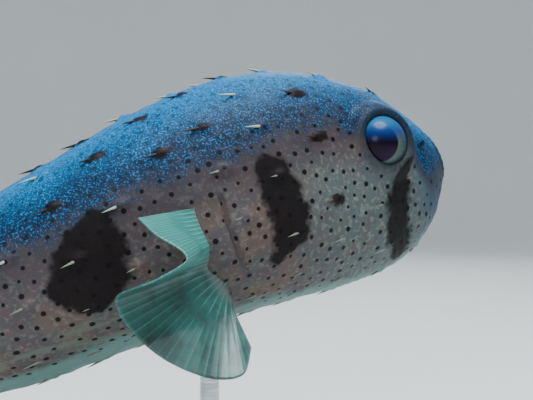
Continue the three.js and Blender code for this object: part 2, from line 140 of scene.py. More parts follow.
def hermite(knots: np.ndarray, values: np.ndarray, slopes: np.ndarray, at: np.ndarray) -> np.ndarray:
    """A cubic Hermite curve.

    Args:
        knots: Where the values stand, rising.
        values: The values at the knots; each may have further axes.
        slopes: The curve's slope at each knot.
        at: Where to read it.

    Returns:
        y (2 t^3 - 3 t^2 + 1) + s h (t^3 - 2 t^2 + t) + y' (3 t^2 - 2 t^3) + s' h (t^3 - t^2), with t the
        share of the step h from one knot, with value y and slope s, to the next, with value y' and slope s'.
    """
    i = np.clip(np.searchsorted(knots, at, side="right") - 1, 0, len(knots) - 2)
    spread = (...,) + (None,) * (values.ndim - 1)
    step = (knots[i + 1] - knots[i])[spread]
    t = (at - knots[i])[spread] / step
    return (
        values[i] * (2 * t**3 - 3 * t**2 + 1)
        + slopes[i] * step * (t**3 - 2 * t**2 + t)
        + values[i + 1] * (3 * t**2 - 2 * t**3)
        + slopes[i + 1] * step * (t**3 - t**2)
    )


# ------------------------------------------------------------------ the body's form


@dataclass(frozen=True)
class Section:
    """A cross-section of the body, its measures being shares of the standard length.

    Attributes:
        at: How far behind the lips it lies.
        back: The height of the back over the lips' level.
        belly: The height of the belly.
        half: Half the width.
        square: How boxy the upper half is: the power of a superellipse.
    """

    at: float
    back: float
    belly: float
    half: float
    square: float


@dataclass(frozen=True)
class Swelling:
    """A soft swelling or hollow on each side of the body.

    Attributes:
        at: How far behind the lips, as a share of the standard length.
        turn: Degrees above the widest level, round the section.
        spread: The radius at which it has sunk to 1/e, in millimetres.
        height: Its height in the middle, in millimetres; a hollow has a negative one.
    """

    at: float
    turn: float
    spread: float
    height: float


@dataclass
class BodyForm:
    """Head, trunk and tail stalk as one surface of a share of length and an angle round the section."""

    sections: tuple[Section, ...] = (
        Section(0.0, 0.03, -0.032, 0.042, 2.1),
        Section(0.02, 0.068, -0.063, 0.068, 2.2),
        Section(0.06, 0.114, -0.102, 0.098, 2.6),
        Section(0.12, 0.157, -0.127, 0.121, 2.8),
        Section(0.2, 0.196, -0.128, 0.138, 2.7),
        Section(0.3, 0.213, -0.113, 0.152, 2.5),
        Section(0.42, 0.203, -0.096, 0.154, 2.4),
        Section(0.54, 0.177, -0.087, 0.143, 2.35),
        Section(0.66, 0.149, -0.081, 0.117, 2.3),
        Section(0.78, 0.114, -0.052, 0.077, 2.2),
        Section(0.89, 0.079, -0.01, 0.038, 2.1),
        Section(1.0, 0.069, 0.002, 0.017, 2.0),
    )
    swellings: tuple[Swelling, ...] = (
        Swelling(0.118, 32, 14, 3.2),
        Swelling(0.056, 52, 10, -2.6),
        Swelling(0.333, -11, 24, 2.2),
        Swelling(0.403, -10, 13, 2.4),
    )
    widest: float = 0.45
    belly_square: float = 2.15

    def line(self, key: str, share: np.ndarray) -> np.ndarray:
        """A smooth line through one measure of the sections.

        Args:
            key: The measure's name, such as "back".
            share: Where along the body to read it.

        Returns:
            A Hermite curve over the square root of the share, whose slope at a section is the mean of the
            slopes of the two chords that meet there, each weighted by the other's length.
        """
        x = np.sqrt([s.at for s in self.sections])
        y = np.array([getattr(s, key) for s in self.sections])
        step = np.diff(x)
        rise = np.diff(y) / step
        slope = np.concatenate([rise[:1], rise, rise[-1:]])[: len(y)]
        slope[1:-1] = (rise[:-1] * step[1:] + rise[1:] * step[:-1]) / (step[:-1] + step[1:])
        slope[-1] = rise[-1]
        return hermite(x, y, slope, np.sqrt(np.clip(share, 0.0, 1.0)))

    def level(self, share: np.ndarray) -> np.ndarray:
        """The height of the widest level, in millimetres."""
        back, belly = self.line("back", share), self.line("belly", share)
        return (belly + (back - belly) * self.widest) * STANDARD_LENGTH

    def section_point(self, share: np.ndarray, angle: np.ndarray, grow: np.ndarray) -> np.ndarray:
        """A point of a plain section.

        Args:
            share: How far behind the lips, as a share of the standard length.
            angle: The angle round the section from the left side, in radians.
            grow: What is added to the section's radius, in millimetres.

        Returns:
            The point at reach (|cos/half|^n + |sin/high|^n)^(-1/n) + grow along the angle, from the widest
            level.
        """
        back, belly = self.line("back", share), self.line("belly", share)
        level = belly + (back - belly) * self.widest
        c, s = np.cos(angle), np.sin(angle)
        power = np.where(s >= 0, self.line("square", share), self.belly_square)
        high = np.where(s >= 0, back - level, level - belly) * STANDARD_LENGTH
        half = self.line("half", share) * STANDARD_LENGTH
        reach = (np.abs(c / half) ** power + np.abs(s / high) ** power) ** (-1 / power) + grow
        return np.stack([-share * STANDARD_LENGTH, reach * c, level * STANDARD_LENGTH + reach * s], -1)

    def swell(self, share: np.ndarray, angle: np.ndarray) -> np.ndarray:
        """How far the swellings raise the skin: the sum over them of height exp(-(distance / spread)^2)."""
        plain = self.section_point(share, angle, 0.0)
        raised = np.zeros(plain.shape[:-1])
        for one in self.swellings:
            turn = math.radians(one.turn)
            for beside in (turn, math.pi - turn):
                centre = self.section_point(np.float64(one.at), np.float64(beside), 0.0)
                raised += one.height * np.exp(-np.sum((plain - centre) ** 2, -1) / one.spread**2)
        return raised

    def point(self, share: np.ndarray, angle: np.ndarray, grow: np.ndarray | float = 0.0) -> np.ndarray:
        """A point of the body's surface, raised by grow millimetres along the section's radius."""
        share, angle = np.broadcast_arrays(np.asarray(share, float), np.asarray(angle, float))
        return self.section_point(share, angle, self.swell(share, angle) + grow)

    def outward(self, share: np.ndarray, angle: np.ndarray) -> np.ndarray:
        """The unit normal: the cross product of the steps along the body and round the section."""
        here = self.point(share, angle)
        beside = self.point(share, np.asarray(angle) + 0.01) - here
        behind = self.point(np.asarray(share) + 0.004, angle) - here
        return unit(np.cross(behind, beside))


@dataclass
class Placement:
    """Where the fish's own frame stands in the part's frame. The eyes' solids give it."""

    snout: np.ndarray = field(init=False)

    def __post_init__(self) -> None:
        """Works the lips' place out from the middle of the two eye solids."""
        corners = [np.array(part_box(f"eye_{side.word}")) for side in Side]
        middle = np.mean(corners, axis=(0, 1)) / MM
        self.snout = middle - self.turned(np.array([-EYE_BEHIND, 0.0, EYE_UP]))

    def turned(self, vectors: np.ndarray) -> np.ndarray:
        """Vectors of the fish's frame, pitched up into the part's."""
        x, y, z = vectors[..., 0], vectors[..., 1], vectors[..., 2]
        c, s = math.cos(PITCH), math.sin(PITCH)
        return np.stack([x * c - z * s, y, x * s + z * c], -1)

    def metres(self, points: np.ndarray) -> np.ndarray:
        """Points of the fish's frame in millimetres, as points of the part in metres."""
        return (self.turned(points) + self.snout) * MM

    def placed(self, surface: Surface) -> Surface:
        """A surface of the fish's frame, moved into the part's."""
        surface.points = self.metres(surface.points)
        return surface


# ------------------------------------------------------------------ meshes from arrays


@dataclass
class Surface:
    """A mesh in the making: vertices in metres, faces and what each vertex carries.

    Attributes:
        points: The vertices, n by 3.
        faces: Arrays of faces, each m by 3 or m by 4.
        marks: Values for each vertex by name, n or n by 3.
        uv: The OFBake map, n by 2, or None.
    """

    points: np.ndarray
    faces: list[np.ndarray]
    marks: dict[str, np.ndarray] = field(default_factory=dict)
    uv: np.ndarray | None = None

    def volume(self) -> float:
        """Six times the signed volume: the sum of p0 . (p1 x p2) over fans of the faces."""
        total = 0.0
        for faces in self.faces:
            corner = self.points[faces]
            for k in range(1, faces.shape[1] - 1):
                total += np.sum(corner[:, 0] * np.cross(corner[:, k], corner[:, k + 1]))
        return float(total)

    def built(self, name: str) -> bpy.types.Object:
        """Puts the arrays into a smooth Blender object at the origin, with its faces turned outwards.

        Args:
            name: The object's name.

        Returns:
            The object, linked to the scene.
        """
        if self.volume() < 0:
            self.faces = [faces[:, ::-1] for faces in self.faces]
        loops = np.concatenate([faces.ravel() for faces in self.faces])
        sizes = np.concatenate([np.full(len(faces), faces.shape[1]) for faces in self.faces])
        mesh = bpy.data.meshes.new(name)
        mesh.vertices.add(len(self.points))
        mesh.vertices.foreach_set("co", self.points.astype(np.float32).ravel())
        mesh.loops.add(len(loops))
        mesh.loops.foreach_set("vertex_index", loops.astype(np.int32))
        mesh.polygons.add(len(sizes))
        mesh.polygons.foreach_set("loop_start", (np.cumsum(sizes) - sizes).astype(np.int32))
        mesh.polygons.foreach_set("use_smooth", np.full(len(sizes), True))
        if self.uv is not None:
            layer = mesh.uv_layers.new(name="OFBake")
            layer.data.foreach_set("uv", self.uv[loops].astype(np.float32).ravel())
        for key, values in self.marks.items():
            kind, slot = ("FLOAT_VECTOR", "vector") if values.ndim == 2 else ("FLOAT", "value")
            attribute = mesh.attributes.new(key, kind, "POINT")
            attribute.data.foreach_set(slot, values.astype(np.float32).ravel())
        mesh.update(calc_edges=True)
        mesh.validate()
        made = bpy.data.objects.new(name, mesh)
        bpy.context.scene.collection.objects.link(made)
        return made


def tube_faces(rings: int, around: int) -> np.ndarray:
    """The quads of a closed tube of rings, its vertices being numbered ring by ring."""
    r, i = np.meshgrid(np.arange(rings - 1), np.arange(around), indexing="ij")
    j = (i + 1) % around
    quads = np.stack([r * around + i, (r + 1) * around + i, (r + 1) * around + j, r * around + j], -1)
    return quads.reshape(-1, 4)


def fan_faces(centre: int, ring_start: int, around: int, flip: bool) -> np.ndarray:
    """The triangles that close a ring onto one vertex."""
    i = np.arange(around)
    j = (i + 1) % around
    pair = (ring_start + j, ring_start + i) if flip else (ring_start + i, ring_start + j)
    return np.stack([np.full(around, centre), *pair], -1)


def closed_tube(rings: np.ndarray, marks: dict[str, np.ndarray] | None = None) -> Surface:
    """A tube of rings, closed at both ends onto the middles of its end rings.

    Args:
        rings: The rings' vertices, rings by around by 3.
        marks: Values for each vertex, rings by around.

    Returns:
        The closed surface.
    """
    count, around = rings.shape[:2]
    points = np.concatenate([rings.reshape(-1, 3), rings[0].mean(0)[None], rings[-1].mean(0)[None]])
    faces = [
        tube_faces(count, around),
        np.concatenate(
            [
                fan_faces(count * around, 0, around, False),
                fan_faces(count * around + 1, (count - 1) * around, around, True),
            ]
        ),
    ]
    carried = {}
    for key, value in (marks or {}).items():
        flat = value.reshape(count * around, *value.shape[2:])
        carried[key] = np.concatenate([flat, flat[:1], flat[-1:]])
    return Surface(points, faces, carried)


def joined(parts: list[Surface]) -> Surface:
    """Several surfaces that carry the same marks, as one."""
    starts = np.cumsum([0] + [len(part.points) for part in parts])
    faces = [f + start for part, start in zip(parts, starts) for f in part.faces]
    marks = {key: np.concatenate([part.marks[key] for part in parts]) for key in parts[0].marks}
    uv = None if parts[0].uv is None else np.concatenate([part.uv for part in parts])
    return Surface(np.concatenate([part.points for part in parts]), faces, marks, uv)


def fitted(
    surface: Surface, name: str, material: bpy.types.Material, slot: str, *nodes: str
) -> bpy.types.Object:
    """Builds a piece, dresses it and enters it in the frame.

    Args:
        surface: The piece, in metres.
        name: Its name.
        material: Its finish.
        slot: Not used.
        nodes: The solids that it stands for, if any.

    Returns:
        The piece's object.
    """
    piece = surface.built(name)
    piece.data.materials.append(material)
    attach(piece, "root")
    if nodes:
        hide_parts(*nodes)
    return piece


# ------------------------------------------------------------------ shaders


class Value:
    """A number in a shader: a socket whose arithmetic adds Math nodes."""

    def __init__(self, shader: Shader, socket: bpy.types.NodeSocket) -> None:
        """Wraps a socket of the shader's tree."""
        self.shader = shader
        self.socket = socket

    def _math(self, operation: str, *others: Value | float) -> Value:
        """One Math node over this value and the others."""
        return self.shader.math(operation, self, *others)

    def __add__(self, other: Value | float) -> Value:
        """self + other."""
        return self._math("ADD", other)

    __radd__ = __add__

    def __mul__(self, other: Value | float) -> Value:
        """self * other."""
        return self._math("MULTIPLY", other)

    __rmul__ = __mul__

    def __sub__(self, other: Value | float) -> Value:
        """self - other."""
        return self._math("SUBTRACT", other)

    def __rsub__(self, other: float) -> Value:
        """other - self."""
        return self.shader.math("SUBTRACT", other, self)

    def rise(self, low: float, high: float) -> Value:
        """A smooth rise from 0 at low to 1 at high."""
        node = self.shader.node(
            "ShaderNodeMapRange",
            {"interpolation_type": "SMOOTHSTEP"},
            {"Value": self, "From Min": min(low, high), "From Max": max(low, high)},
        )
        rising = Value(self.shader, node.outputs["Result"])
        return rising if low < high else 1.0 - rising


Colour = Triple
Linkable = Value | bpy.types.NodeSocket | float | tuple[float, ...]


def hue(code: str) -> Colour:
    """A colour in linear light from its six-figure screen code."""
    parts = [int(code[i : i + 2], 16) / 255 for i in (0, 2, 4)]
    return tuple(p / 12.92 if p <= 0.04045 else ((p + 0.055) / 1.055) ** 2.4 for p in parts)


class Shader:
    """A material in the making, with one method that adds any node."""

    def __init__(self, name: str) -> None:
        """Starts a material that has only its output node."""
        self.material = bpy.data.materials.new(name)
        self.material.use_nodes = True
        self.tree = self.material.node_tree
        self.tree.nodes.clear()

    def node(
        self,
        kind: str,
        settings: dict[str, object] | None = None,
        inputs: dict[str | int, Linkable] | None = None,
    ) -> bpy.types.Node:
        """Adds a node.

        Args:
            kind: The node's type.
            settings: Its properties, set first.
            inputs: Values or links by the socket's name or number.

        Returns:
            The node.
        """
        node = self.tree.nodes.new(kind)
        for key, value in (settings or {}).items():
            setattr(node, key, value)
        for key, value in (inputs or {}).items():
            socket = node.inputs[key]
            source = value.socket if isinstance(value, Value) else value
            if isinstance(source, bpy.types.NodeSocket):
                self.tree.links.new(source, socket)
            elif isinstance(source, tuple) and socket.type == "RGBA" and len(source) == 3:
                socket.default_value = (*source, 1.0)
            else:
                socket.default_value = source
        return node

    def math(self, operation: str, *values: Value | float) -> Value:
        """A Math node over the values, in order."""
        node = self.node("ShaderNodeMath", {"operation": operation}, dict(enumerate(values)))
        return Value(self, node.outputs[0])

    def mix(self, amount: Linkable, first: Linkable, second: Linkable) -> bpy.types.NodeSocket:
        """A colour between first, at amount 0, and second, at amount 1."""
        settings = {"data_type": "RGBA", "clamp_factor": True}
        node = self.node("ShaderNodeMix", settings, {0: amount, 6: first, 7: second})
        return node.outputs[2]

    def place(self, stretch: Triple = (1, 1, 1), turn: float = 0.0) -> bpy.types.NodeSocket:
        """Object coordinates, pitched down by turn and then stretched."""
        where = self.node("ShaderNodeTexCoord").outputs["Object"]
        level = self.node("ShaderNodeMapping", None, {"Vector": where, "Rotation": (0.0, turn, 0.0)})
        node = self.node("ShaderNodeMapping", None, {"Vector": level.outputs[0], "Scale": stretch})
        return node.outputs[0]

    def noise(
        self, scale: float, detail: float = 2.0, rough: float = 0.5, at: Linkable | None = None
    ) -> Value:
        """Smooth noise about 0.5, in cells a metre over scale across.

        Args:
            scale: How many cells a metre holds.
            detail: How many finer layers it has.
            rough: How strong the finer layers are.
            at: The coordinates that it is read at, if not the plain Object coordinates.

        Returns:
            The noise.
        """
        where = self.place() if at is None else at
        inputs = {"Scale": scale, "Detail": detail, "Roughness": rough, "Vector": where}
        return Value(self, self.node("ShaderNodeTexNoise", None, inputs).outputs[0])

    def mark(self, name: str) -> Value:
        """A number that the piece's vertices carry."""
        node = self.node("ShaderNodeAttribute", {"attribute_name": name})
        return Value(self, node.outputs["Fac"])

    def mark_length(self, name: str) -> Value:
        """The length of a vector that the piece's vertices carry."""
        node = self.node("ShaderNodeAttribute", {"attribute_name": name})
        length = self.node("ShaderNodeVectorMath", {"operation": "LENGTH"}, {0: node.outputs["Vector"]})
        return Value(self, length.outputs["Value"])

    def bump(self, height: Value, depth: float, strength: float = 1.0) -> bpy.types.NodeSocket:
        """A normal from a height between 0 and 1 that stands for depth metres."""
        inputs = {"Height": height, "Distance": depth, "Strength": strength}
        return self.node("ShaderNodeBump", None, inputs).outputs["Normal"]

    def finish(self, **sockets: Linkable) -> bpy.types.Material:
        """Ends the material with a Principled shader.

        Args:
            sockets: Values or links by the socket's name, with _ for a space.

        Returns:
            The material.
        """
        inputs = {key.replace("_", " "): value for key, value in sockets.items()}
        shader = self.node("ShaderNodeBsdfPrincipled", None, inputs)
        self.node("ShaderNodeOutputMaterial", None, {"Surface": shader.outputs[0]})
        return self.material


@dataclass(frozen=True)
class SkinFinish:
    """Damp skin: blue granular back, mauve-grey flank, pale wrinkled belly, dark bars and round spots, with
    painted light: a highlight on top of the back, shade towards the back's lower edge, on the lips and on the
    belly, and a green cast on the belly.
    """

    # painted highlight: ridge is the brighter blue that the top of the back is lightened to, for light from
    # above
    ridge: Colour = hue("0b6ea6")
    back: Colour = hue("0c5687")
    back_pale: Colour = hue("169ce4")
    # the navy of the back's dark granules, and also painted shade towards the back's lower edge
    back_deep: Colour = hue("0c1f38")
    flank: Colour = hue("474549")
    flank_dark: Colour = hue("2b2830")
    flank_warm: Colour = hue("564845")
    cheek: Colour = hue("4d5c5d")
    fleck: Colour = hue("777f72")
    rosy: Colour = hue("5c4140")
    snout: Colour = hue("30495a")
    streak: Colour = hue("565e56")
    # painted shade and painted light: the pale belly is darkened and tinted green, for shade underneath and a
    # green cast of light
    belly: Colour = hue("5f827d")
    bar: Colour = hue("080305")
    spot: Colour = hue("040305")
    patch: Colour = hue("160a07")
    # the lips' own grey-purple, darkened with painted shade at the front of the mouth
    lip: Colour = hue("262f3a")
    mouth: Colour = hue("2a171a")
    lid: Colour = hue("1b252e")

    def material(self) -> bpy.types.Material:
        """Makes the material.

        Returns:
            The skin's material, which reads the marks that the skin's vertices carry.
        """
        s = Shader("fish_skin")
        granule = s.noise(1500.0, 1.0).rise(0.53, 0.66)
        blotch = s.noise(70.0, 3.0)
        fine = s.noise(420.0, 3.0, 0.6)
        along = s.place(stretch=(0.16, 1.0, 1.0), turn=PITCH)
        streaks = s.noise(330.0, 3.0, 0.6, at=along)

        # painted shade: the back darkens to navy, in blotches, towards its lower edge, where it turns from
        # the light above, and shows fewer pale granules there
        shade = (blotch * 0.6 + s.mark("back") * 0.012).rise(0.9, 0.4)
        # painted highlight: towards the top of the back the blue is lightened for light from above
        deep = s.mix(s.mark("ridge") * 0.9, s.mix(shade, self.back, self.back_deep), self.ridge)
        deep = s.mix(s.noise(1100.0, 1.0).rise(0.5, 0.6) * 0.6, deep, self.back_deep)
        back = s.mix(granule * (0.72 - 0.4 * shade), deep, self.back_pale)
        flank = s.mix(blotch.rise(0.44, 0.6), self.flank, self.flank_warm)
        flank = s.mix(s.mark("cheek") * (0.35 + 0.8 * fine), flank, self.cheek)
        patchy = s.noise(560.0, 3.0, 0.6)
        flank = s.mix((blotch * 0.5 + fine * 0.5).rise(0.5, 0.4) * 0.35, flank, self.rosy)
        flank = s.mix(patchy.rise(0.5, 0.66) * (0.3 + 0.25 * s.mark("cheek")), flank, self.fleck)
        flank = s.mix(s.mark("snout") * (patchy * 1.6 - 0.1).rise(0.0, 1.0), flank, self.snout)
        flank = s.mix(s.mark("back").rise(-30.0, -2.0) * (0.4 + 0.7 * blotch), flank, self.flank_dark)
        flank = s.mix(s.mark("low") * streaks.rise(0.42, 0.62), flank, self.streak)
        above_edge = s.mark("back") + (blotch - 0.5) * 18.0 + (fine - 0.5) * 22.0
        colour = s.mix(above_edge.rise(-9.0, 9.0), flank, back)
        pale = (s.mark("belly") + (blotch - 0.5) * 0.6 + (fine - 0.5) * 0.5).rise(0.1, 0.9)
        # painted shade and painted green light on the pale belly
        colour = s.mix(pale * 0.9, colour, self.belly)
        colour = s.mix(s.mark("lid") * (0.45 + 0.6 * fine), colour, self.lid)
        # the lips, darkened with painted shade
        colour = s.mix((s.mark("lip") * (0.5 + fine)).rise(0.0, 1.0) * 0.85, colour, self.lip)
        colour = s.mix(s.mark("lip").rise(1.05, 1.5), colour, self.mouth)

        edge = (s.noise(160.0, 2.0) - 0.5) * 9.0 + (fine - 0.5) * 3.0
        bars = (s.mark("bar") + edge).rise(-1.6, 2.2) * 0.94
        colour = s.mix(bars, colour, self.bar)
        patches = (s.mark("patch") + (fine - 0.5) * 1.2).rise(0.25, 0.55) * 0.95
        colour = s.mix(patches, colour, self.patch)
        offset = s.mark_length("spot_offset") + (fine - 0.5) * 0.5
        size = s.mark("spot_size")
        dots = (offset - size).rise(0.16, -0.16) * s.mark("spot_distance").rise(1.5, 1.25)
        dots = dots * (0.95 - 0.45 * s.mark("back").rise(-4.0, 10.0))
        colour = s.mix(dots, colour, self.spot)

        rough = 0.44 + 0.22 * fine + 0.1 * bars
        height = 0.35 * s.noise(900.0, 2.0) + 0.4 * streaks + 0.25 * fine
        return s.finish(
            Base_Color=colour,
            Roughness=rough,
            Normal=s.bump(height, 0.00045, 0.75),
            Specular_IOR_Level=0.12,
        )


@dataclass(frozen=True)
class SpineFinish:
    """Horny spines: pale ones, olive below, their outward side and tip lightened with a painted highlight and
    the side that faces the skin darker as painted shade; dull ones on the flank; dark ones that pale to the
    tip.
    """

    # painted shade: the olive of each spine's side that faces the skin; the lighter colours below are its
    # outward side and a painted highlight
    under: Colour = hue("6d662c")
    shaft: Colour = hue("8f8c5a")
    crest: Colour = hue("a3b8a4")
    dull: Colour = hue("4c4842")
    flesh: Colour = hue("3b3a40")
    dark_root: Colour = hue("0a0605")
    dark_tip: Colour = hue("362a24")

    def material(self) -> bpy.types.Material:
        """Makes the material, which reads each vertex's place along and round a spine, and its tone."""
        s = Shader("spine_horn")
        along = s.mark("along")
        grain = s.noise(900.0, 2.0, at=s.place(stretch=(0.25, 1.0, 1.0), turn=PITCH))
        # painted shade and highlight: darker olive on the side that faces the skin, lighter outward, paler
        # still towards the tip
        light = s.mix((s.mark("crest") + (grain - 0.5) * 0.6).rise(0.2, 0.6), self.under, self.shaft)
        gleam = s.mark("crest") * 0.6 + along * 0.6 + (grain - 0.5) * 0.3
        light = s.mix(gleam.rise(0.45, 0.85), light, self.crest)
        light = s.mix(s.mark("tone").rise(1.0, 0.5) * 0.75, light, self.dull)
        dark = s.mix((along * (0.5 + grain)).rise(0.2, 1.0), self.dark_root, self.dark_tip)
        light = s.mix((along + (grain - 0.5) * 0.2).rise(0.5, 0.22), light, self.flesh)
        colour = s.mix(s.mark("tone").rise(0.1, 0.3), dark, light)
        return s.finish(
            Base_Color=colour,
            Roughness=0.35 + 0.3 * grain,
            Normal=s.bump(grain, 0.0002, 0.5),
            Specular_IOR_Level=0.3,
        )


@dataclass(frozen=True)
class FinFinish:
    """A thin fin: a green membrane that lets light through between jointed rays."""

    membrane: Colour = hue("358781")
    # the dark green of the mottling, and painted shade on the clearer lower lobe
    deep: Colour = hue("163833")
    ray: Colour = hue("7cc3b5")
    root: Colour = hue("5d6a66")

    def material(self) -> bpy.types.Material:
        """Makes the material, which reads how near a ray, how far out and how clear each place is; clearer
        places are also darkened as painted shade.
        """
        s = Shader("fin_membrane")
        ray, out, thin = s.mark("ray"), s.mark("out"), s.mark("thin")
        mottle = s.noise(120.0, 3.0, 0.6)
        # painted shade: the clearer places, the pectoral's lower lobe most, are darkened as if dark water
        # showed through
        web = s.mix(mottle.rise(0.3, 0.8) * 0.4 + 0.6 * thin, self.membrane, self.deep)
        ridge = ray.rise(0.5, 0.95)
        joints = (s.math("SINE", out * 150.0) * 0.5 + 0.5).rise(0.1, 0.5) * 0.35 + 0.65
        colour = s.mix(ridge * joints * (0.6 - 0.4 * thin), web, self.ray)
        colour = s.mix(out.rise(0.22, 0.02), colour, self.root)
        alpha = 0.92 - 0.12 * thin + 0.08 * ridge + 0.5 * out.rise(0.2, 0.0) + (mottle - 0.5) * 0.1
        return s.finish(
            Base_Color=colour,
            Roughness=0.34 + 0.2 * mottle,
            Alpha=s.math("MINIMUM", alpha, 1.0),
            Normal=s.bump(ray * joints, 0.0002, 0.4),
            Coat_Weight=0.15,
        )


@dataclass(frozen=True)
class EyeFinish:
    """A big wet eye: a maroon-black pupil, a pale ring, and a blue sheen over its upper part: a painted
    reflection of light from above, with some iridescence.
    """

    pupil: Colour = hue("0c030d")
    pupil_glow: Colour = hue("1d0b26")
    ring: Colour = hue("465a55")
    iris: Colour = hue("3a4d4a")
    iris_dark: Colour = hue("1f2c32")
    # painted reflection: the blue over the upper eye stands for light from above reflected in the cornea,
    # partly its iridescence; the next colour is its brighter top
    sheen: Colour = hue("0f2f6e")
    sheen_high: Colour = hue("1a5f92")

    def material(self) -> bpy.types.Material:
        """Makes the material, which reads each vertex's distance from the eye's axis and its height."""
        s = Shader("eye_wet")
        off, up = s.mark("off_axis"), s.mark("eye_up")
        cells = s.noise(1300.0, 3.0, 0.7)
        iris = s.mix(cells.rise(0.35, 0.65), self.iris, self.iris_dark)
        iris = s.mix((off + (cells - 0.5) * 1.4).rise(10.4, 7.6), iris, self.ring)
        pupil = s.mix((0.0 - up).rise(-2.0, 6.0), self.pupil, self.pupil_glow)
        colour = s.mix((off + (cells - 0.5) * 0.3).rise(7.6, 7.1), iris, pupil)
        # painted reflection of light from above over the upper part, brighter at the top
        blue = s.mix((up + (cells - 0.5) * 4.0).rise(4.0, 9.5), self.sheen, self.sheen_high)
        colour = s.mix((up + (cells - 0.5) * 1.2).rise(-0.5, 6.0) * 0.85, colour, blue)
        return s.finish(
            Base_Color=colour,
            Roughness=0.24 + 0.12 * cells,
            Specular_IOR_Level=0.06,
            Coat_Weight=0.1,
            Coat_Roughness=0.05,
            Normal=s.bump(cells * off.rise(7.4, 8.4), 0.0001, 0.4),
        )


@dataclass(frozen=True)
class BeakFinish:
    """Smooth cream beak plates, a little darker at the gum."""

    plate: Colour = hue("d8cfae")
    gum: Colour = hue("8f8068")

    def material(self) -> bpy.types.Material:
        """Makes the material, which reads each vertex's place from the biting edge to the gum."""
        s = Shader("beak_plate")
        stain = s.noise(500.0, 3.0)
        colour = s.mix((s.mark("gumward") + (stain - 0.5) * 0.5).rise(0.3, 0.9), self.plate, self.gum)
        return s.finish(Base_Color=colour, Roughness=0.22 + 0.2 * stain, Normal=s.bump(stain, 0.00015, 0.5))


@dataclass(frozen=True)
class WoodFinish:
    """Dark stained wood with a long grain and a satin varnish."""

    light: Colour = hue("4a3325")
    dark: Colour = hue("20150f")

    def material(self) -> bpy.types.Material:
        """Makes the material, its grain running along x."""
        s = Shader("stand_wood")
        bend = s.noise(9.0, 2.0) * 0.02
        planks = s.place(stretch=(0.07, 1.0, 0.6))
        where = s.node("ShaderNodeVectorMath", {"operation": "ADD"}, {0: planks, 1: bend})
        grain = s.noise(160.0, 6.0, 0.6, at=where.outputs[0])
        pores = s.noise(1400.0, 2.0, 0.5, at=s.place(stretch=(0.05, 1.0, 1.0)))
        colour = s.mix((grain * 0.75 + pores * 0.25).rise(0.36, 0.62), self.dark, self.light)
        return s.finish(
            Base_Color=colour,
            Roughness=0.3 + 0.2 * grain,
            Normal=s.bump(pores, 0.0001, 0.5),
            Coat_Weight=0.25,
            Coat_Roughness=0.2,
        )


@dataclass(frozen=True)
class SteelFinish:
    """Fine-turned steel, with faint rings round the rod."""

    bright: Colour = hue("c3c6c9")
    dull: Colour = hue("999ea2")

    def material(self) -> bpy.types.Material:
        """Makes the material."""
        s = Shader("stand_steel")
        rings = s.noise(900.0, 3.0, 0.6, at=s.place(stretch=(0.05, 0.05, 1.0)))
        colour = s.mix(rings.rise(0.35, 0.65), self.dull, self.bright)
        return s.finish(
            Base_Color=colour, Metallic=1.0, Roughness=0.25 + 0.1 * rings, Normal=s.bump(rings, 0.00002, 0.2)
        )


@dataclass(frozen=True)
class BackdropFinish:
    """A pale matt sweep of paper."""

    light: Colour = hue("e3e6e8")
    dim: Colour = hue("dce0e2")

    def material(self) -> bpy.types.Material:
        """Makes the material."""
        s = Shader("studio_paper")
        cloud = s.noise(3.0, 2.0)
        return s.finish(Base_Color=s.mix(cloud, self.light, self.dim), Roughness=0.85 + 0.1 * cloud)


# ------------------------------------------------------------------ spines


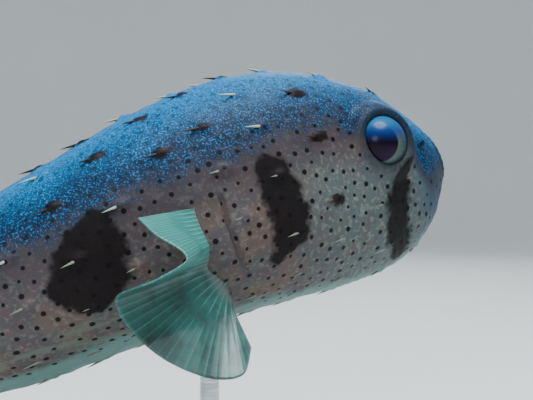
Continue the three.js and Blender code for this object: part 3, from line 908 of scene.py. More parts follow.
@dataclass
class SpineField:
    """Rows of spines over the body: where each grows, which way it leans and whether it is pale or dark."""

    form: BodyForm
    first: float = 0.085
    step: float = 0.066
    count: int = 14
    spacing: float = 19.5
    length: float = 12.0
    root_radius: float = 0.92
    sunk: float = 0.9
    droop: float = 0.9
    rise: float = 21.0
    rod_at: float = 0.405

    def __post_init__(self) -> None:
        """Lays the rows out, each set half a step round from the one before, and drops those in the way."""
        shares, angles, rows, columns = [], [], [], []
        for row in range(self.count):
            middle = self.first + row * self.step
            at = np.float64(middle)
            high = (self.form.line("back", at) - self.form.line("belly", at)) / 2
            girth = math.pi * (self.form.line("half", at) + high) * STANDARD_LENGTH
            around = 2 * int(girth / (2 * self.spacing) + 0.5)
            column = np.arange(around)
            nudge = 0.3 * (scatter(column, row + 40) - 0.5)
            shares.append(middle + 0.008 * (scatter(row, column) - 0.5))
            angles.append(2 * math.pi * (column + (row % 2) / 2 + nudge) / around)
            rows.append(np.full(around, row))
            columns.append(column)
        share, angle = np.concatenate(shares), np.concatenate(angles)
        row, column = np.concatenate(rows), np.concatenate(columns)
        keep = self.clear(self.form.point(share, angle), share, angle) & (share < 0.985)
        self.share, self.angle = share[keep], angle[keep]
        self.row, self.column = row[keep], column[keep]
        self.root = self.form.point(self.share, self.angle)
        self.outward = self.form.outward(self.share, self.angle)
        behind = unit(self.form.point(self.share + 0.01, self.angle) - self.root)
        low = np.sin(self.angle) < -0.2
        rise = np.radians(self.rise * np.where(low, 0.7, 1.0))[:, None]
        self.lean = behind * np.cos(rise) + self.outward * np.sin(rise)
        on_back = np.sin(self.angle) > 0.4
        draw = scatter(self.row + 7, self.column + 3)
        pale = np.where(on_back, 1.0, np.where(draw > 0.85, 0.65, 0.5))
        dark_share = np.where(on_back, 0.55, np.where(np.sin(self.angle) < -0.5, 0.0, 0.12))
        self.tone = np.where(draw < dark_share, 0.0, pale)
        self.dark = self.tone == 0.0
        on_head = smooth_step(0.2, 0.08, self.share)
        self.reach = self.length * (0.75 + 0.25 * scatter(self.column, self.row)) * (1 - 0.15 * on_head)
        self.reach = self.reach * np.where(np.abs(np.sin(self.angle)) < 0.4, 0.85, 1.0)

    def clear(self, point: np.ndarray, share: np.ndarray, angle: np.ndarray) -> np.ndarray:
        """Which places stand clear of the eyes, the fins and the rod.

        Args:
            point: The places.
            share: Their shares of the body's length.
            angle: Their angles round the section.

        Returns:
            True where a spine may grow.
        """
        side = np.where(point[..., 1] < 0, -1.0, 1.0)
        eye = np.stack([np.full_like(side, -EYE_BEHIND), side * EYE_OUT, np.full_like(side, EYE_UP)], -1)
        ok = np.linalg.norm(point - eye, axis=-1) >= EYE_CLEAR
        top, bottom = PectoralFin.ROOT_TOP, PectoralFin.ROOT_BOTTOM
        mirror = np.stack([np.ones_like(side), -side, np.ones_like(side)], -1)
        top, bottom = top * mirror, bottom * mirror
        along = np.sum((point - top) * (bottom - top), -1) / np.sum((bottom - top) ** 2, -1)
        nearest = top + np.clip(along, 0, 1)[..., None] * (bottom - top)
        ok &= np.linalg.norm(point - nearest, axis=-1) >= FIN_CLEAR
        ok &= ~((np.abs(point[..., 1]) < 9) & (share > MedianFin.DORSAL_START - 0.05))
        ok &= ~((np.abs(point[..., 1]) < 12) & (np.sin(angle) < 0) & (np.abs(share - self.rod_at) < 0.05))
        return ok

    def sheath(self, points: np.ndarray) -> np.ndarray:
        """How far each spine draws the skin up: height exp(-(distance / spread)^2), longer to the rear."""
        raised = np.zeros(len(points))
        for root, lean, height in zip(self.root, self.lean, np.where(np.sin(self.angle) < -0.2, 0.9, 1.7)):
            near = points - (root + lean * 3.0)
            along = near @ lean
            aside = np.sum(near**2, -1) - along**2
            raised += height * np.exp(-(along**2) / 3.2**2 - aside / 1.9**2)
        return raised

    def patch(self, points: np.ndarray) -> np.ndarray:
        """How deep a point lies in a dark spine's patch: 1 in its middle, 0 at 2.6 to 4.8 mm aside of it."""
        depth = np.zeros(len(points))
        for root, lean, size in zip(
            self.root[self.dark], self.lean[self.dark], scatter(self.column, self.row + 9)[self.dark]
        ):
            near = points - (root + lean * 2.0)
            along = near @ lean
            aside = np.sqrt(np.maximum(np.sum(near**2, -1) - along**2, 0))
            reach = 2.6 + 2.2 * size
            depth = np.maximum(depth, 1 - np.sqrt((along / (reach * 1.7)) ** 2 + (aside / reach) ** 2))
        return np.clip(depth, 0, 1)

    def surface(self, place: Placement, skin_map: SkinMap) -> Surface:
        """All spines as one surface of slender, slightly drooping cones.

        The shaft's middle line is root - sunk outward + t L lean - droop t^2 outward, and its radius is
        r (1 - t)^0.85, for t from 0 to 1 along it.

        Args:
            place: Where the fish stands.
            skin_map: The unwrap of the skin that the spines' map follows.

        Returns:
            The joined spines.
        """
        around, t = 7, np.array([0.0, 0.12, 0.24, 0.38, 0.52, 0.68, 0.84, 0.95])
        radius = self.root_radius * (1 - t) ** 0.85
        centre = (
            self.root[:, None]
            + self.lean[:, None] * (t[:, None] * self.reach[:, None, None])
            - self.outward[:, None] * (self.sunk + self.droop * t[:, None] ** 2)
        )
        aside = unit(np.cross(self.lean, self.outward))
        upper = np.cross(aside, self.lean)
        turn = circle(around)
        spoke = aside[:, None] * np.cos(turn)[:, None] + upper[:, None] * np.sin(turn)[:, None]
        rings = centre[:, :, None] + spoke[:, None] * radius[:, None, None]
        tips = self.root - self.outward * (self.sunk + self.droop) + self.lean * self.reach[:, None]
        parts = []
        flat = skin_map.place(self.share, self.angle)
        for k in range(len(self.root)):
            part = closed_tube(rings[k])
            part.points[-1] = tips[k]
            along = np.concatenate([np.repeat(t, around), [0.0, 1.0]])
            # how far a point faces outward from the skin, lightened in the finish as a painted highlight
            crest = np.concatenate([np.tile(0.5 + 0.5 * np.sin(turn), len(t)), [0.5, 0.8]])
            part.marks = {"along": along, "crest": crest, "tone": np.full(len(along), self.tone[k])}
            across = np.concatenate([np.tile(turn / (2 * math.pi), len(t)), [0.5, 0.5]])
            part.uv = flat[k] + 0.003 * (np.stack([along, across], -1) - 0.5)
            parts.append(place.placed(part))
        return joined(parts)


# ------------------------------------------------------------------ the skin


@dataclass
class SkinMap:
    """The skin's grid of rows along the body and columns round it, closer together near the eyes."""

    rows: int = 398
    columns: int = 232

    def __post_init__(self) -> None:
        """Sets rows 1 / (1 + 1.7 at the eyes + 1.0 at the lips) apart, columns 1 / (1 + 1.3 at the eyes)."""
        fine = np.linspace(0, 1, 4001)
        crowd = 1 + 1.7 * np.exp(-(((fine - 0.125) / 0.06) ** 2)) + 1.0 * np.exp(-((fine / 0.04) ** 2))
        self.share = np.interp(np.linspace(0, 1, self.rows), *self._even(fine, crowd))
        turn = np.linspace(0, 2 * math.pi, 4001)
        above = np.degrees(np.arcsin(np.sin(turn)))
        crowd = 1 + 1.3 * np.exp(-(((above - 30) / 22) ** 2))
        self.angle = np.interp(np.linspace(0, 1, self.columns + 1)[:-1], *self._even(turn, crowd))

    @staticmethod
    def _even(place: np.ndarray, crowd: np.ndarray) -> tuple[np.ndarray, np.ndarray]:
        """The running share of crowding over the places, and the places."""
        total = np.concatenate([[0], np.cumsum((crowd[1:] + crowd[:-1]) / 2 * np.diff(place))])
        return total / total[-1], place

    def place(self, share: np.ndarray, angle: np.ndarray) -> np.ndarray:
        """Where a spot of the body lies on the flat unwrap: across its length, and round it."""
        u = 0.06 + 0.92 * np.interp(share, self.share, np.linspace(0, 1, self.rows))
        columns = np.linspace(0, 1, self.columns + 1)
        v = np.interp(np.mod(angle, 2 * math.pi), np.append(self.angle, 2 * math.pi), columns)
        return np.stack([u, 0.01 + 0.98 * v], -1)


@dataclass(frozen=True)
class Bar:
    """A dark bar on each flank: its middle and half width at levels down the side.

    Attributes:
        turns: Degrees above the widest level, rising.
        middles: Shares of the body's length.
        halves: Half widths, as shares of the length; 0 where the bar ends.
    """

    turns: tuple[float, ...]
    middles: tuple[float, ...]
    halves: tuple[float, ...]

    def depth(self, share: np.ndarray, turn: np.ndarray) -> np.ndarray:
        """Millimetres that a point lies inside the bar: half width less distance from the middle line."""
        middle = np.interp(turn, self.turns, self.middles)
        half = np.interp(turn, self.turns, self.halves, left=-0.05, right=-0.05)
        return (half - np.abs(share - middle)) * STANDARD_LENGTH


@dataclass
class Skin:
    """One seamless skin over head, trunk and tail stalk, with lips, lids, gill openings and markings."""

    form: BodyForm
    place: Placement
    spines: SpineField
    grid: SkinMap
    eye_axis: Triple = (0.2, 1.0, 0.16)
    mouth: tuple[Triple, ...] = (
        (-9.0, 7.1, 2.9),
        (-3.0, 8.3, 3.3),
        (0.6, 8.8, 3.8),
        (1.8, 9.6, 5.2),
        (1.3, 11.0, 7.2),
    )
    mouth_rows: int = 16
    spot_gap: float = 4.4
    spot_tries: int = 16000
    bars: tuple[Bar, ...] = (
        Bar(
            (-62, -52, -25, -8, 4, 13, 17),
            (0.139, 0.138, 0.138, 0.128, 0.118, 0.096, 0.09),
            (-0.01, 0.018, 0.022, 0.021, 0.016, 0.008, -0.01),
        ),
        Bar(
            (-30, -23, -18, -8, 4, 18, 24, 30),
            (0.335, 0.325, 0.308, 0.297, 0.299, 0.3, 0.302, 0.303),
            (-0.01, 0.015, 0.027, 0.03, 0.028, 0.025, 0.008, -0.03),
        ),
        Bar(
            (-20, -12, -4, 6, 18, 25, 33),
            (0.55, 0.546, 0.545, 0.546, 0.534, 0.524, 0.52),
            (-0.02, 0.026, 0.046, 0.049, 0.04, 0.03, -0.02),
        ),
    )

    def axis(self, side: Side) -> np.ndarray:
        """Where that side's eye looks, as a unit vector of the fish's frame."""
        x, y, z = self.eye_axis
        return unit(np.array([x, side.value * y, z]))

    @staticmethod
    def eye_centre(side: Side) -> np.ndarray:
        """The middle of that side's eyeball, in the fish's frame."""
        return np.array([-EYE_BEHIND, side.value * EYE_OUT, EYE_UP])

    def _relief(self, share: np.ndarray, angle: np.ndarray, plain: np.ndarray) -> np.ndarray:
        """Folds and hollows of the skin, in millimetres along the section's radius.

        The lips are creased and set off by a groove; the gill opening is a narrow cut with a raised front
        edge; the lower flank has long folds, the sine of the distance round the section over 0.75 mm, and the
        chin folds across it, both broken by an unevenness; every spine's root draws the skin up.

        Args:
            share: Shares of length over the grid.
            angle: Angles over the grid.
            plain: The grid's points without relief.

        Returns:
            The relief over the grid.
        """
        turn = np.degrees(np.arcsin(np.sin(angle)))
        relief = -0.7 * np.exp(-(((share - 0.013) / 0.0042) ** 2))
        relief += 0.14 * np.sin(34 * angle + 1.5 * np.sin(3 * angle)) * smooth_step(0.034, 0.012, share)
        curve = 0.3785 - 0.006 * ((turn + 4) / 18) ** 2
        gap = (share - curve) * STANDARD_LENGTH
        window = smooth_step(-27, -20, turn) * smooth_step(16, 8, turn)
        relief += window * (0.7 * np.exp(-(((gap + 2.4) / 2.2) ** 2)) - 2.2 * np.exp(-((gap / 0.75) ** 2)))
        radius = np.hypot(plain[..., 1], plain[..., 2] - self.form.level(share))
        wander = ripple(plain, 26.0, SEED + 1)
        folds = np.sin(angle * radius / 0.75 + 2.6 * wander)
        low = smooth_step(8, -22, turn) * smooth_step(0.2, 0.42, share) * smooth_step(0.97, 0.88, share)
        relief += 0.2 * folds * low * (0.6 + 0.4 * ripple(plain, 40.0, SEED + 2))
        chin = smooth_step(-15, -45, turn) * smooth_step(0.32, 0.2, share) * smooth_step(0.02, 0.06, share)
        relief += 0.13 * chin * np.sin(share * STANDARD_LENGTH / 0.62 + 2.2 * wander)
        relief += 0.1 * ripple(plain, 7.0, SEED + 3, 20) * smooth_step(0.0, 0.03, share)
        flat = plain.reshape(-1, 3)
        return relief + self.spines.sheath(flat).reshape(share.shape)

    def _lids(self, points: np.ndarray, side: Side) -> tuple[np.ndarray, np.ndarray]:
        """Draws the skin to a round opening over an eyeball.

        The skin is moved along the eye's axis: from the opening outwards to a fold that stands just over the
        ball, and inside the opening to 1.5 mm under the ball's surface. It goes back to its own height
        between 12.6 and 19 mm from the axis.

        Args:
            points: The skin, n by 3.
            side: Which eye.

        Returns:
            The moved points, and the distance of each from the axis (large on the other side).
        """
        axis, centre = self.axis(side), self.eye_centre(side)
        rel = points - centre
        high = rel @ axis
        flat = rel - high[:, None] * axis
        off = np.linalg.norm(flat, axis=1)
        here = (high > -1.0) & (off < 24.0)
        delta = off - LID_OPENING
        pulled = LID_OPENING + np.sign(delta) * 1.6 * (np.abs(delta) / 1.6) ** 1.7
        off_new = np.where(np.abs(delta) < 1.6, pulled, off)
        flat = flat * (off_new / np.maximum(off, 1e-6))[:, None]
        ball = np.sqrt(np.maximum(EYE_RADIUS**2 - np.minimum(off_new, EYE_RADIUS - 0.01) ** 2, 0.0))
        rim = math.sqrt(EYE_RADIUS**2 - LID_OPENING**2)
        fold = rim + 0.45 + 0.55 * np.sin(np.clip((off_new - LID_OPENING) / 3.6, 0, 1) * math.pi)
        fold -= 0.35 * np.exp(-(((off_new - 15.2) / 1.1) ** 2))
        inside = smooth_step(LID_OPENING + 0.1, LID_OPENING - 0.35, off_new)
        target = fold * (1 - inside) + (ball - 1.5) * inside
        weight = smooth_step(19.0, 12.6, off_new)
        high_new = high + (target - high) * weight
        moved = centre + flat + high_new[:, None] * axis
        result = np.where(here[:, None], moved, points)
        return result, np.where(here, off_new, FAR)

    def _spots(self, points: np.ndarray, share: np.ndarray, turn: np.ndarray) -> dict[str, np.ndarray]:
        """Scatters round spots and measures every vertex from the nearest.

        Places are drawn over the skin by area and kept if they lie far enough from all that were kept before.

        Args:
            points: The skin's grid, rows by columns by 3.
            share: Shares of length over the grid.
            turn: Degrees above the widest level over the grid.

        Returns:
            The vector to the nearest spot's middle, the distance, and that spot's radius, for each vertex.
        """
        draw = np.random.default_rng(SEED)
        along = np.linalg.norm(np.diff(points, axis=0), axis=-1)
        across = np.linalg.norm(np.roll(points, -1, 1) - points, axis=-1)[:-1]
        lower_edge = -58 + 16 * smooth_step(0.25, 0.6, share) - 40 * smooth_step(0.11, 0.07, share)
        allowed = (turn > lower_edge) & (share > 0.014) & (share < 0.97)
        eye = np.minimum(*(np.linalg.norm(points - self.eye_centre(side), axis=-1) for side in Side))
        allowed &= eye > 15.5
        weight = (along * across * allowed[:-1]).ravel()
        picks = draw.choice(weight.size, size=self.spot_tries, p=weight / weight.sum(), replace=False)
        candidates = points[:-1].reshape(-1, 3)[picks]
        low = smooth_step(0, -35, turn[:-1].ravel()[picks]) * smooth_step(0.3, 0.5, share[:-1].ravel()[picks])
        gaps = self.spot_gap * draw.uniform(0.94, 1.22, len(picks)) * (1 - 0.1 * low)
        kept: list[int] = []
        centres = np.empty((0, 3))
        for k, (candidate, gap) in enumerate(zip(candidates, gaps)):
            if not len(centres) or np.min(np.sum((centres - candidate) ** 2, 1)) > gap * gap:
                kept.append(k)
                centres = np.vstack([centres, candidate])
        sizes = draw.uniform(0.66, 1.04, len(kept)) * (1 - 0.28 * low[kept])
        stretch = 1 - 0.4 * low[kept]
        flat = points.reshape(-1, 3)
        offset, size, distance = np.empty_like(flat), np.empty(len(flat)), np.empty(len(flat))
        at_once = 4000
        for start in range(0, len(flat), at_once):
            part = slice(start, start + at_once)
            gap = flat[part, None] - centres[None]
            nearest = np.argmin(np.sum(gap**2, -1), 1)
            offset[part] = gap[np.arange(len(gap)), nearest]
            distance[part] = np.linalg.norm(offset[part], axis=1)
            offset[part, 0] *= stretch[nearest]
            size[part] = sizes[nearest]
        LOG.info("skin: %d spots", len(kept))
        return {"spot_offset": offset, "spot_distance": distance, "spot_size": size}

    def _mouth_rings(self, first: np.ndarray) -> np.ndarray:
        """The lips and the mouth's walls: ellipses whose place and size follow a Hermite curve of the keys.

        Args:
            first: The body's first ring, which the curve runs out to.

        Returns:
            The rings from the throat to just before the body's first ring, rows by columns by 3.
        """
        angle = self.grid.angle
        half = np.max(np.abs(first[:, 1]))
        high = (np.max(first[:, 2]) - np.min(first[:, 2])) / 2
        middle = (np.max(first[:, 2]) + np.min(first[:, 2])) / 2
        keys = np.array([*self.mouth, (0.0, half, high)])
        knots = np.concatenate([[0], np.cumsum(np.linalg.norm(np.diff(keys, axis=0), axis=1))])
        at = np.linspace(0, knots[-1], self.mouth_rows + 1)[:-1]
        slope = np.gradient(keys, knots, axis=0)
        ring = hermite(knots, keys, slope, at)
        level = middle * smooth_step(0.75, 1.0, at / knots[-1])
        creases = 1 + 0.022 * np.sin(34 * angle) * np.sin(math.pi * at / knots[-1])[:, None] ** 2
        x = np.broadcast_to(ring[:, :1], creases.shape)
        y = ring[:, 1:2] * creases * np.cos(angle)
        z = level[:, None] + ring[:, 2:3] * creases * np.sin(angle)
        return np.stack([x, y, z], -1)

    def build(self) -> bpy.types.Object:
        """Makes the skin.

        Returns:
            The skin's object, which replaces the flesh nodes.
        """
        share, angle = np.meshgrid(self.grid.share, self.grid.angle, indexing="ij")
        plain = self.form.point(share, angle)
        body = self.form.point(share, angle, self._relief(share, angle, plain))
        turn = np.degrees(np.arcsin(np.sin(angle)))
        flat = body.reshape(-1, 3)
        off = np.full(len(flat), FAR)
        for side in Side:
            flat, near = self._lids(flat, side)
            off = np.minimum(off, near)
        body = flat.reshape(body.shape)
        mouth = self._mouth_rings(body[0])
        rings = np.concatenate([mouth, body])
        marks = self._spots(body, share, turn)
        marks |= self._tones(body, share, turn, off.reshape(share.shape))
        carried = {}
        for key, value in marks.items():
            value = value.reshape(*share.shape, *value.shape[1:]) if value.shape[0] == share.size else value
            lead = np.broadcast_to(value[:1], (self.mouth_rows, *value.shape[1:])).copy()
            carried[key] = np.concatenate([lead, value])
        depth = np.linspace(1.9, 0.8, self.mouth_rows)[:, None] * np.ones(self.grid.columns)
        carried["lip"][: self.mouth_rows] = depth
        carried["spot_distance"][: self.mouth_rows] = FAR
        surface = self.place.placed(closed_tube(rings, carried))
        inner = np.linspace(0.0, 0.055, self.mouth_rows)
        u = np.concatenate([inner, 0.06 + 0.92 * np.linspace(0, 1, self.grid.rows)])
        v = 0.01 + 0.98 * np.linspace(0, 1, self.grid.columns + 1)[:-1]
        uv = np.stack(np.meshgrid(u, v, indexing="ij"), -1).reshape(-1, 2)
        surface.uv = np.concatenate([uv, [[0.0, 0.5], [0.985, 0.5]]])
        skin = fitted(surface, "skin", SkinFinish().material(), "skin", "head", "trunk", "tail_stalk")
        LOG.info("skin: %d faces", len(skin.data.polygons))
        return skin

    def _tones(
        self, points: np.ndarray, share: np.ndarray, turn: np.ndarray, off: np.ndarray
    ) -> dict[str, np.ndarray]:
        """The broad markings, for each vertex.

        Args:
            points: The skin's grid.
            share: Shares of length.
            turn: Degrees above the widest level.
            off: Distance from the nearest eye's axis.

        Returns:
            back: degrees above the edge of the blue back; bar: millimetres inside a bar; and shares from 0 to
                1 of the cheek, low-flank, belly, lip, snout, lid and dark-patch tones, and of the ridge,
                where the painted highlight on top of the back goes.
        """
        front = np.maximum(0.42 - share, 0.0)
        edge = 28.5 + 245 * front**2 + 50 * np.maximum(share - 0.58, 0.0)
        edge = edge + (-1.0 - edge) * smooth_step(0.115, 0.06, share)
        bar = np.max([one.depth(share, turn) for one in self.bars], axis=0)
        angle = np.arctan2(np.sin(self.grid.angle), np.cos(self.grid.angle))
        down = -self.form.outward(share, angle[None])[..., 2]
        low_edge = 0.72 - 0.14 * smooth_step(0.3, 0.6, share)
        eye_level = points[..., 2] - EYE_UP
        return {
            "back": turn - edge + 16 * smooth_step(26, 15, off) * smooth_step(3, 11, eye_level),
            "bar": np.clip(bar, -20, 20),
            "cheek": smooth_step(0.34, 0.2, share) * smooth_step(24, 6, turn),
            "low": smooth_step(-2, -30, turn) * smooth_step(0.3, 0.48, share),
            "belly": smooth_step(low_edge - 0.3 * smooth_step(0.14, 0.05, share), low_edge + 0.27, down),
            "lip": 0.8 * smooth_step(0.03, 0.0, share),
            "snout": smooth_step(0.115, 0.06, share) * (0.45 + 0.55 * smooth_step(-75, -30, turn)),
            # where the painted highlight on top of the back goes
            "ridge": smooth_step(38, 76, turn) * (1 - 0.15 * smooth_step(0.12, 0.05, share)),
            "lid": 0.5 * smooth_step(19.0, 13.0, off) + 0.5 * smooth_step(14.6, 12.0, off),
            "patch": self.spines.patch(points.reshape(-1, 3)).reshape(share.shape),
        }


# ------------------------------------------------------------------ eyes, nostrils and beak


@dataclass
class Eye:
    """An eyeball with a bulging cornea, in the socket of its side, that looks out and a little back."""

    place: Placement
    side: Side
    gaze: Triple = (-0.4, 0.9, 0.08)
    bulge: float = 0.35
    rings: int = 60
    around: int = 96

    def build(self, material: bpy.types.Material) -> bpy.types.Object:
        """Makes the eyeball: a sphere about the line of sight, drawn out by 0.35 mm over the pupil.

        Args:
            material: The eye's finish.

        Returns:
            The eyeball's object.
        """
        ahead, out, high = self.gaze
        axis = unit(np.array([ahead, self.side.value * out, high]))
        up = unit(np.cross(np.cross(axis, [0.0, 0.0, 1.0]), axis))
        across = np.cross(up, axis) * self.side.value
        lean = np.linspace(0.02, math.pi - 0.02, self.rings)[:, None]
        turn = circle(self.around)[None]
        radius = EYE_RADIUS - self.bulge + self.bulge * np.exp(-((lean / 0.5) ** 2))
        off = radius * np.sin(lean) * np.ones_like(turn)
        high = radius * np.cos(lean) * np.ones_like(turn)
        lift = off * np.cos(turn)
        points = high[..., None] * axis + lift[..., None] * up + (off * np.sin(turn))[..., None] * across
        off_front = np.where(high > 0, off, EYE_RADIUS * 2 - off)
        # height towards the top and front of the eye, where the painted reflection sits
        sheen = lift - 0.3 * off * np.sin(turn)
        surface = closed_tube(points + Skin.eye_centre(self.side), {"off_axis": off_front, "eye_up": sheen})
        word = self.side.word
        return fitted(self.place.placed(surface), f"eyeball_{word}", material, "eyeball", f"eye_{word}")


@dataclass
class Nostril:
    """A short fleshy nostril flap with a cupped end, ahead of an eye."""

    place: Placement
    form: BodyForm
    side: Side
    at: float = 0.061
    turn: float = 22.0

    def build(self, material: bpy.types.Material) -> bpy.types.Object:
        """Makes the flap: a profile of radius and height, turned about a line that leans forward.

        Args:
            material: The skin's finish.

        Returns:
            The nostril's object.
        """
        turn = math.radians(self.turn)
        angle = turn if self.side is Side.LEFT else math.pi - turn
        root = self.form.point(np.float64(self.at), np.float64(angle))
        axis = unit(np.array([0.5, self.side.value * 0.8, 0.33]))
        aside = unit(np.cross(axis, [0.0, 0.0, 1.0]))
        upper = np.cross(aside, axis)
        radii, heights = (1.25, 1.15, 1.0, 1.3, 1.2, 0.95, 0.55), (-1.2, 0.3, 1.4, 2.5, 2.75, 2.6, 1.7)
        fine = np.linspace(0, len(radii) - 1, 22)
        radius, height = (np.interp(fine, np.arange(len(radii)), values) for values in (radii, heights))
        way = circle(28)
        spoke = aside * np.cos(way)[:, None] + upper * np.sin(way)[:, None]
        rings = root + axis * height[:, None, None] + spoke * radius[:, None, None]
        blank = np.zeros(rings.shape[:2])
        marks = {key: blank for key in ("cheek", "low", "belly", "patch", "ridge", "lid", "snout")}
        marks |= {"back": blank + 9, "bar": blank - 20, "lip": blank + 0.35, "spot_distance": blank + FAR}
        marks |= {"spot_size": blank + 0.1, "spot_offset": np.full((*blank.shape, 3), FAR)}
        surface, word = self.place.placed(closed_tube(rings, marks)), self.side.word
        return fitted(surface, f"nostril_flap_{word}", material, "skin", f"nostril_{word}")


@dataclass
class BeakPlate:
    """One beak plate: a bent strip round the front of a jaw, rounded towards its biting edge."""

    place: Placement
    jaw: int
    half: float = 7.5
    deep: float = 6.9
    thick: float = 1.9
    high: float = 5.2
    gap: float = 0.9
    behind: float = 6.8

    def build(self, material: bpy.types.Material) -> bpy.types.Object:
        """Makes the plate: a rounded oblong section carried along half an ellipse, leaning in at the edge.

        Args:
            material: The beak's finish.

        Returns:
            The plate's object.
        """
        bend = np.linspace(-math.pi / 2 + 0.06, math.pi / 2 - 0.06, 40)
        way = np.linspace(0, 2 * math.pi, 25)[:-1]
        power = 0.45
        across = np.sign(np.cos(way)) * np.abs(np.cos(way)) ** power * self.thick / 2
        height = (np.sign(np.sin(way)) * np.abs(np.sin(way)) ** power + 1) / 2
        across = across * (0.45 + 0.55 * np.sqrt(height)) - 0.12 * (1 - height) ** 2
        reach = across[None] - self.thick / 2
        ends = np.sin(np.clip((math.pi / 2 - np.abs(bend)) / 0.22, 0, 1) * math.pi / 2)[:, None]
        x = (self.deep + reach) * np.cos(bend)[:, None] - self.behind
        y = (self.half + reach) * np.sin(bend)[:, None]
        z = self.jaw * (self.gap / 2 + (self.high - self.gap / 2) * height[None] * (0.6 + 0.4 * ends))
        rings = np.stack([x, y, np.broadcast_to(z, x.shape)], -1)
        surface = closed_tube(rings, {"gumward": np.broadcast_to(height, x.shape).copy()})
        surface, word = self.place.placed(surface), "upper" if self.jaw > 0 else "lower"
        return fitted(surface, f"beak_plate_{word}", material, "tooth", f"tooth_plate_{word}")


# ------------------------------------------------------------------ fins


def fin_plate(
    middle: np.ndarray, ray: np.ndarray, out: np.ndarray, thin: np.ndarray | float = 0.4
) -> Surface:
    """A closed thin plate about a middle surface.

    Its thickness is (thick - fall sqrt(out)) (0.86 + 0.14 ray). Each side is the middle surface moved by half
    of that along its normal, which is the cross product of the steps along the two ways of the grid. The
    sides are joined by a strip round the edge.

    Args:
        middle: The middle surface, m by n by 3.
        ray: How near each place is to a ray, m by n.
        out: How far out it lies, from 0 at the root to 1 at the edge.
        thin: How clear the sheet is there; the finish also darkens the clearer places as painted shade.

    Returns:
        The plate, marked with the last three.
    """
    m, n = ray.shape
    out, thin = np.broadcast_to(out, ray.shape), np.broadcast_to(thin, ray.shape)
    thick = (FIN_THICK - FIN_FALL * np.sqrt(out)) * (0.86 + 0.14 * ray)
    normal = unit(np.cross(np.gradient(middle, axis=0), np.gradient(middle, axis=1)))
    sides = [middle + sign * normal * thick[..., None] / 2 for sign in (1, -1)]
    points = np.concatenate([side.reshape(-1, 3) for side in sides])
    i, j = np.meshgrid(np.arange(m - 1), np.arange(n - 1), indexing="ij")
    corner = (i * n + j).ravel()
    upper = np.stack([corner, corner + n, corner + n + 1, corner + 1], -1)
    lower = upper[:, ::-1] + m * n
    rim = np.concatenate(
        [
            np.arange(n),
            np.arange(1, m) * n + n - 1,
            (m - 1) * n + np.arange(n - 2, -1, -1),
            np.arange(m - 2, 0, -1) * n,
        ]
    )
    following = np.roll(rim, -1)
    edge = np.stack([rim, following, following + m * n, rim + m * n], -1)
    carried = {key: np.tile(value.ravel(), 2) for key, value in (("ray", ray), ("out", out), ("thin", thin))}
    return Surface(points, [upper, lower, edge], carried)


def ray_ridges(across: np.ndarray, rays: int, out: np.ndarray) -> np.ndarray:
    """How near a place of a fin is to a ray.

    Args:
        across: Places from 0 to 1 across the fin, as a column.
        rays: How many rays the fin has.
        out: Places from the root, 0, to the edge, 1, as a row.

    Returns:
        |cos(pi rays x)| to the power 8 near the root; farther out every ray forks, and
        |sin(2 pi rays x + 0.8)| to the power 6, which has twice the ridges, takes over.
    """
    single = np.abs(np.cos(math.pi * rays * across)) ** 8
    forked = np.abs(np.sin(2 * math.pi * rays * across + 0.8)) ** 6
    fork = smooth_step(0.3, 0.62, out)
    return np.maximum(single * (1 - fork), forked * fork)


@dataclass
class PectoralFin:
    """The fan behind a gill opening, folded in two lobes, with its rays spread from a short root."""

    place: Placement
    side: Side
    rays: int = 23
    ROOT_TOP = np.array([-121.2, -44.6, 20.1])
    ROOT_BOTTOM = np.array([-120.6, -42.4, -15.0])
    downs: tuple[float, ...] = (0.0, 0.18, 0.4, 0.5, 0.61, 0.75, 0.88, 0.95, 1.0)
    aheads: tuple[float, ...] = (-24.5, -23, -18, -29, -41, -36, -22.5, -11, -4)
    outs: tuple[float, ...] = (24, 34, 43, 42, 32, 30, 29, 29, 24)
    ups: tuple[float, ...] = (6, 7, 5, 6, 7, -7, -18.5, -20.5, -13)

    @staticmethod
    def _curve(keys: np.ndarray, values: np.ndarray, at: np.ndarray) -> np.ndarray:
        """A Hermite curve through the values, with the slopes of the chords between neighbours."""
        slope = np.empty_like(values)
        slope[1:-1] = (values[2:] - values[:-2]) / (keys[2:] - keys[:-2])
        slope[0] = (values[1] - values[0]) / (keys[1] - keys[0])
        slope[-1] = (values[-1] - values[-2]) / (keys[-1] - keys[-2])
        return hermite(keys, values, slope, at)

    def build(self, material: bpy.types.Material) -> bpy.types.Object:
        """Makes the fin: each ray runs straight from its place on the root line to its own tip.

        Args:
            material: The fins' finish.

        Returns:
            The fin's object.
        """
        down = np.linspace(0, 1, self.rays * 9 + 1)
        keys = np.array(self.downs)
        measures = (self.aheads, self.outs, self.ups)
        ahead, out, up = (self._curve(keys, np.array(values, float), down) for values in measures)
        share = np.linspace(-0.06, 1.0, 44)
        ray = ray_ridges(down[:, None], self.rays, share[None])
        bow = 1.6 * np.sin(math.pi * np.clip(share, 0, 1))
        root = self.ROOT_TOP + (self.ROOT_BOTTOM - self.ROOT_TOP) * down[:, None]
        reach = np.stack([ahead, -out, up], -1) * FIN_REACH
        middle = root[:, None] + reach[:, None] * share[None, :, None]
        middle[..., 1] += bow * 0.25
        mirror = np.array([1.0, -float(self.side.value), 1.0])
        # the lower lobe: clearer, and darkened in the finish with painted shade
        thin = smooth_step(0.42, 0.62, down)[:, None]
        surface = self.place.placed(fin_plate(middle * mirror, ray, np.clip(share, 0, 1), thin))
        word = self.side.word
        return fitted(surface, f"pectoral_{word}", material, "fin", f"pectoral_fin_{word}")


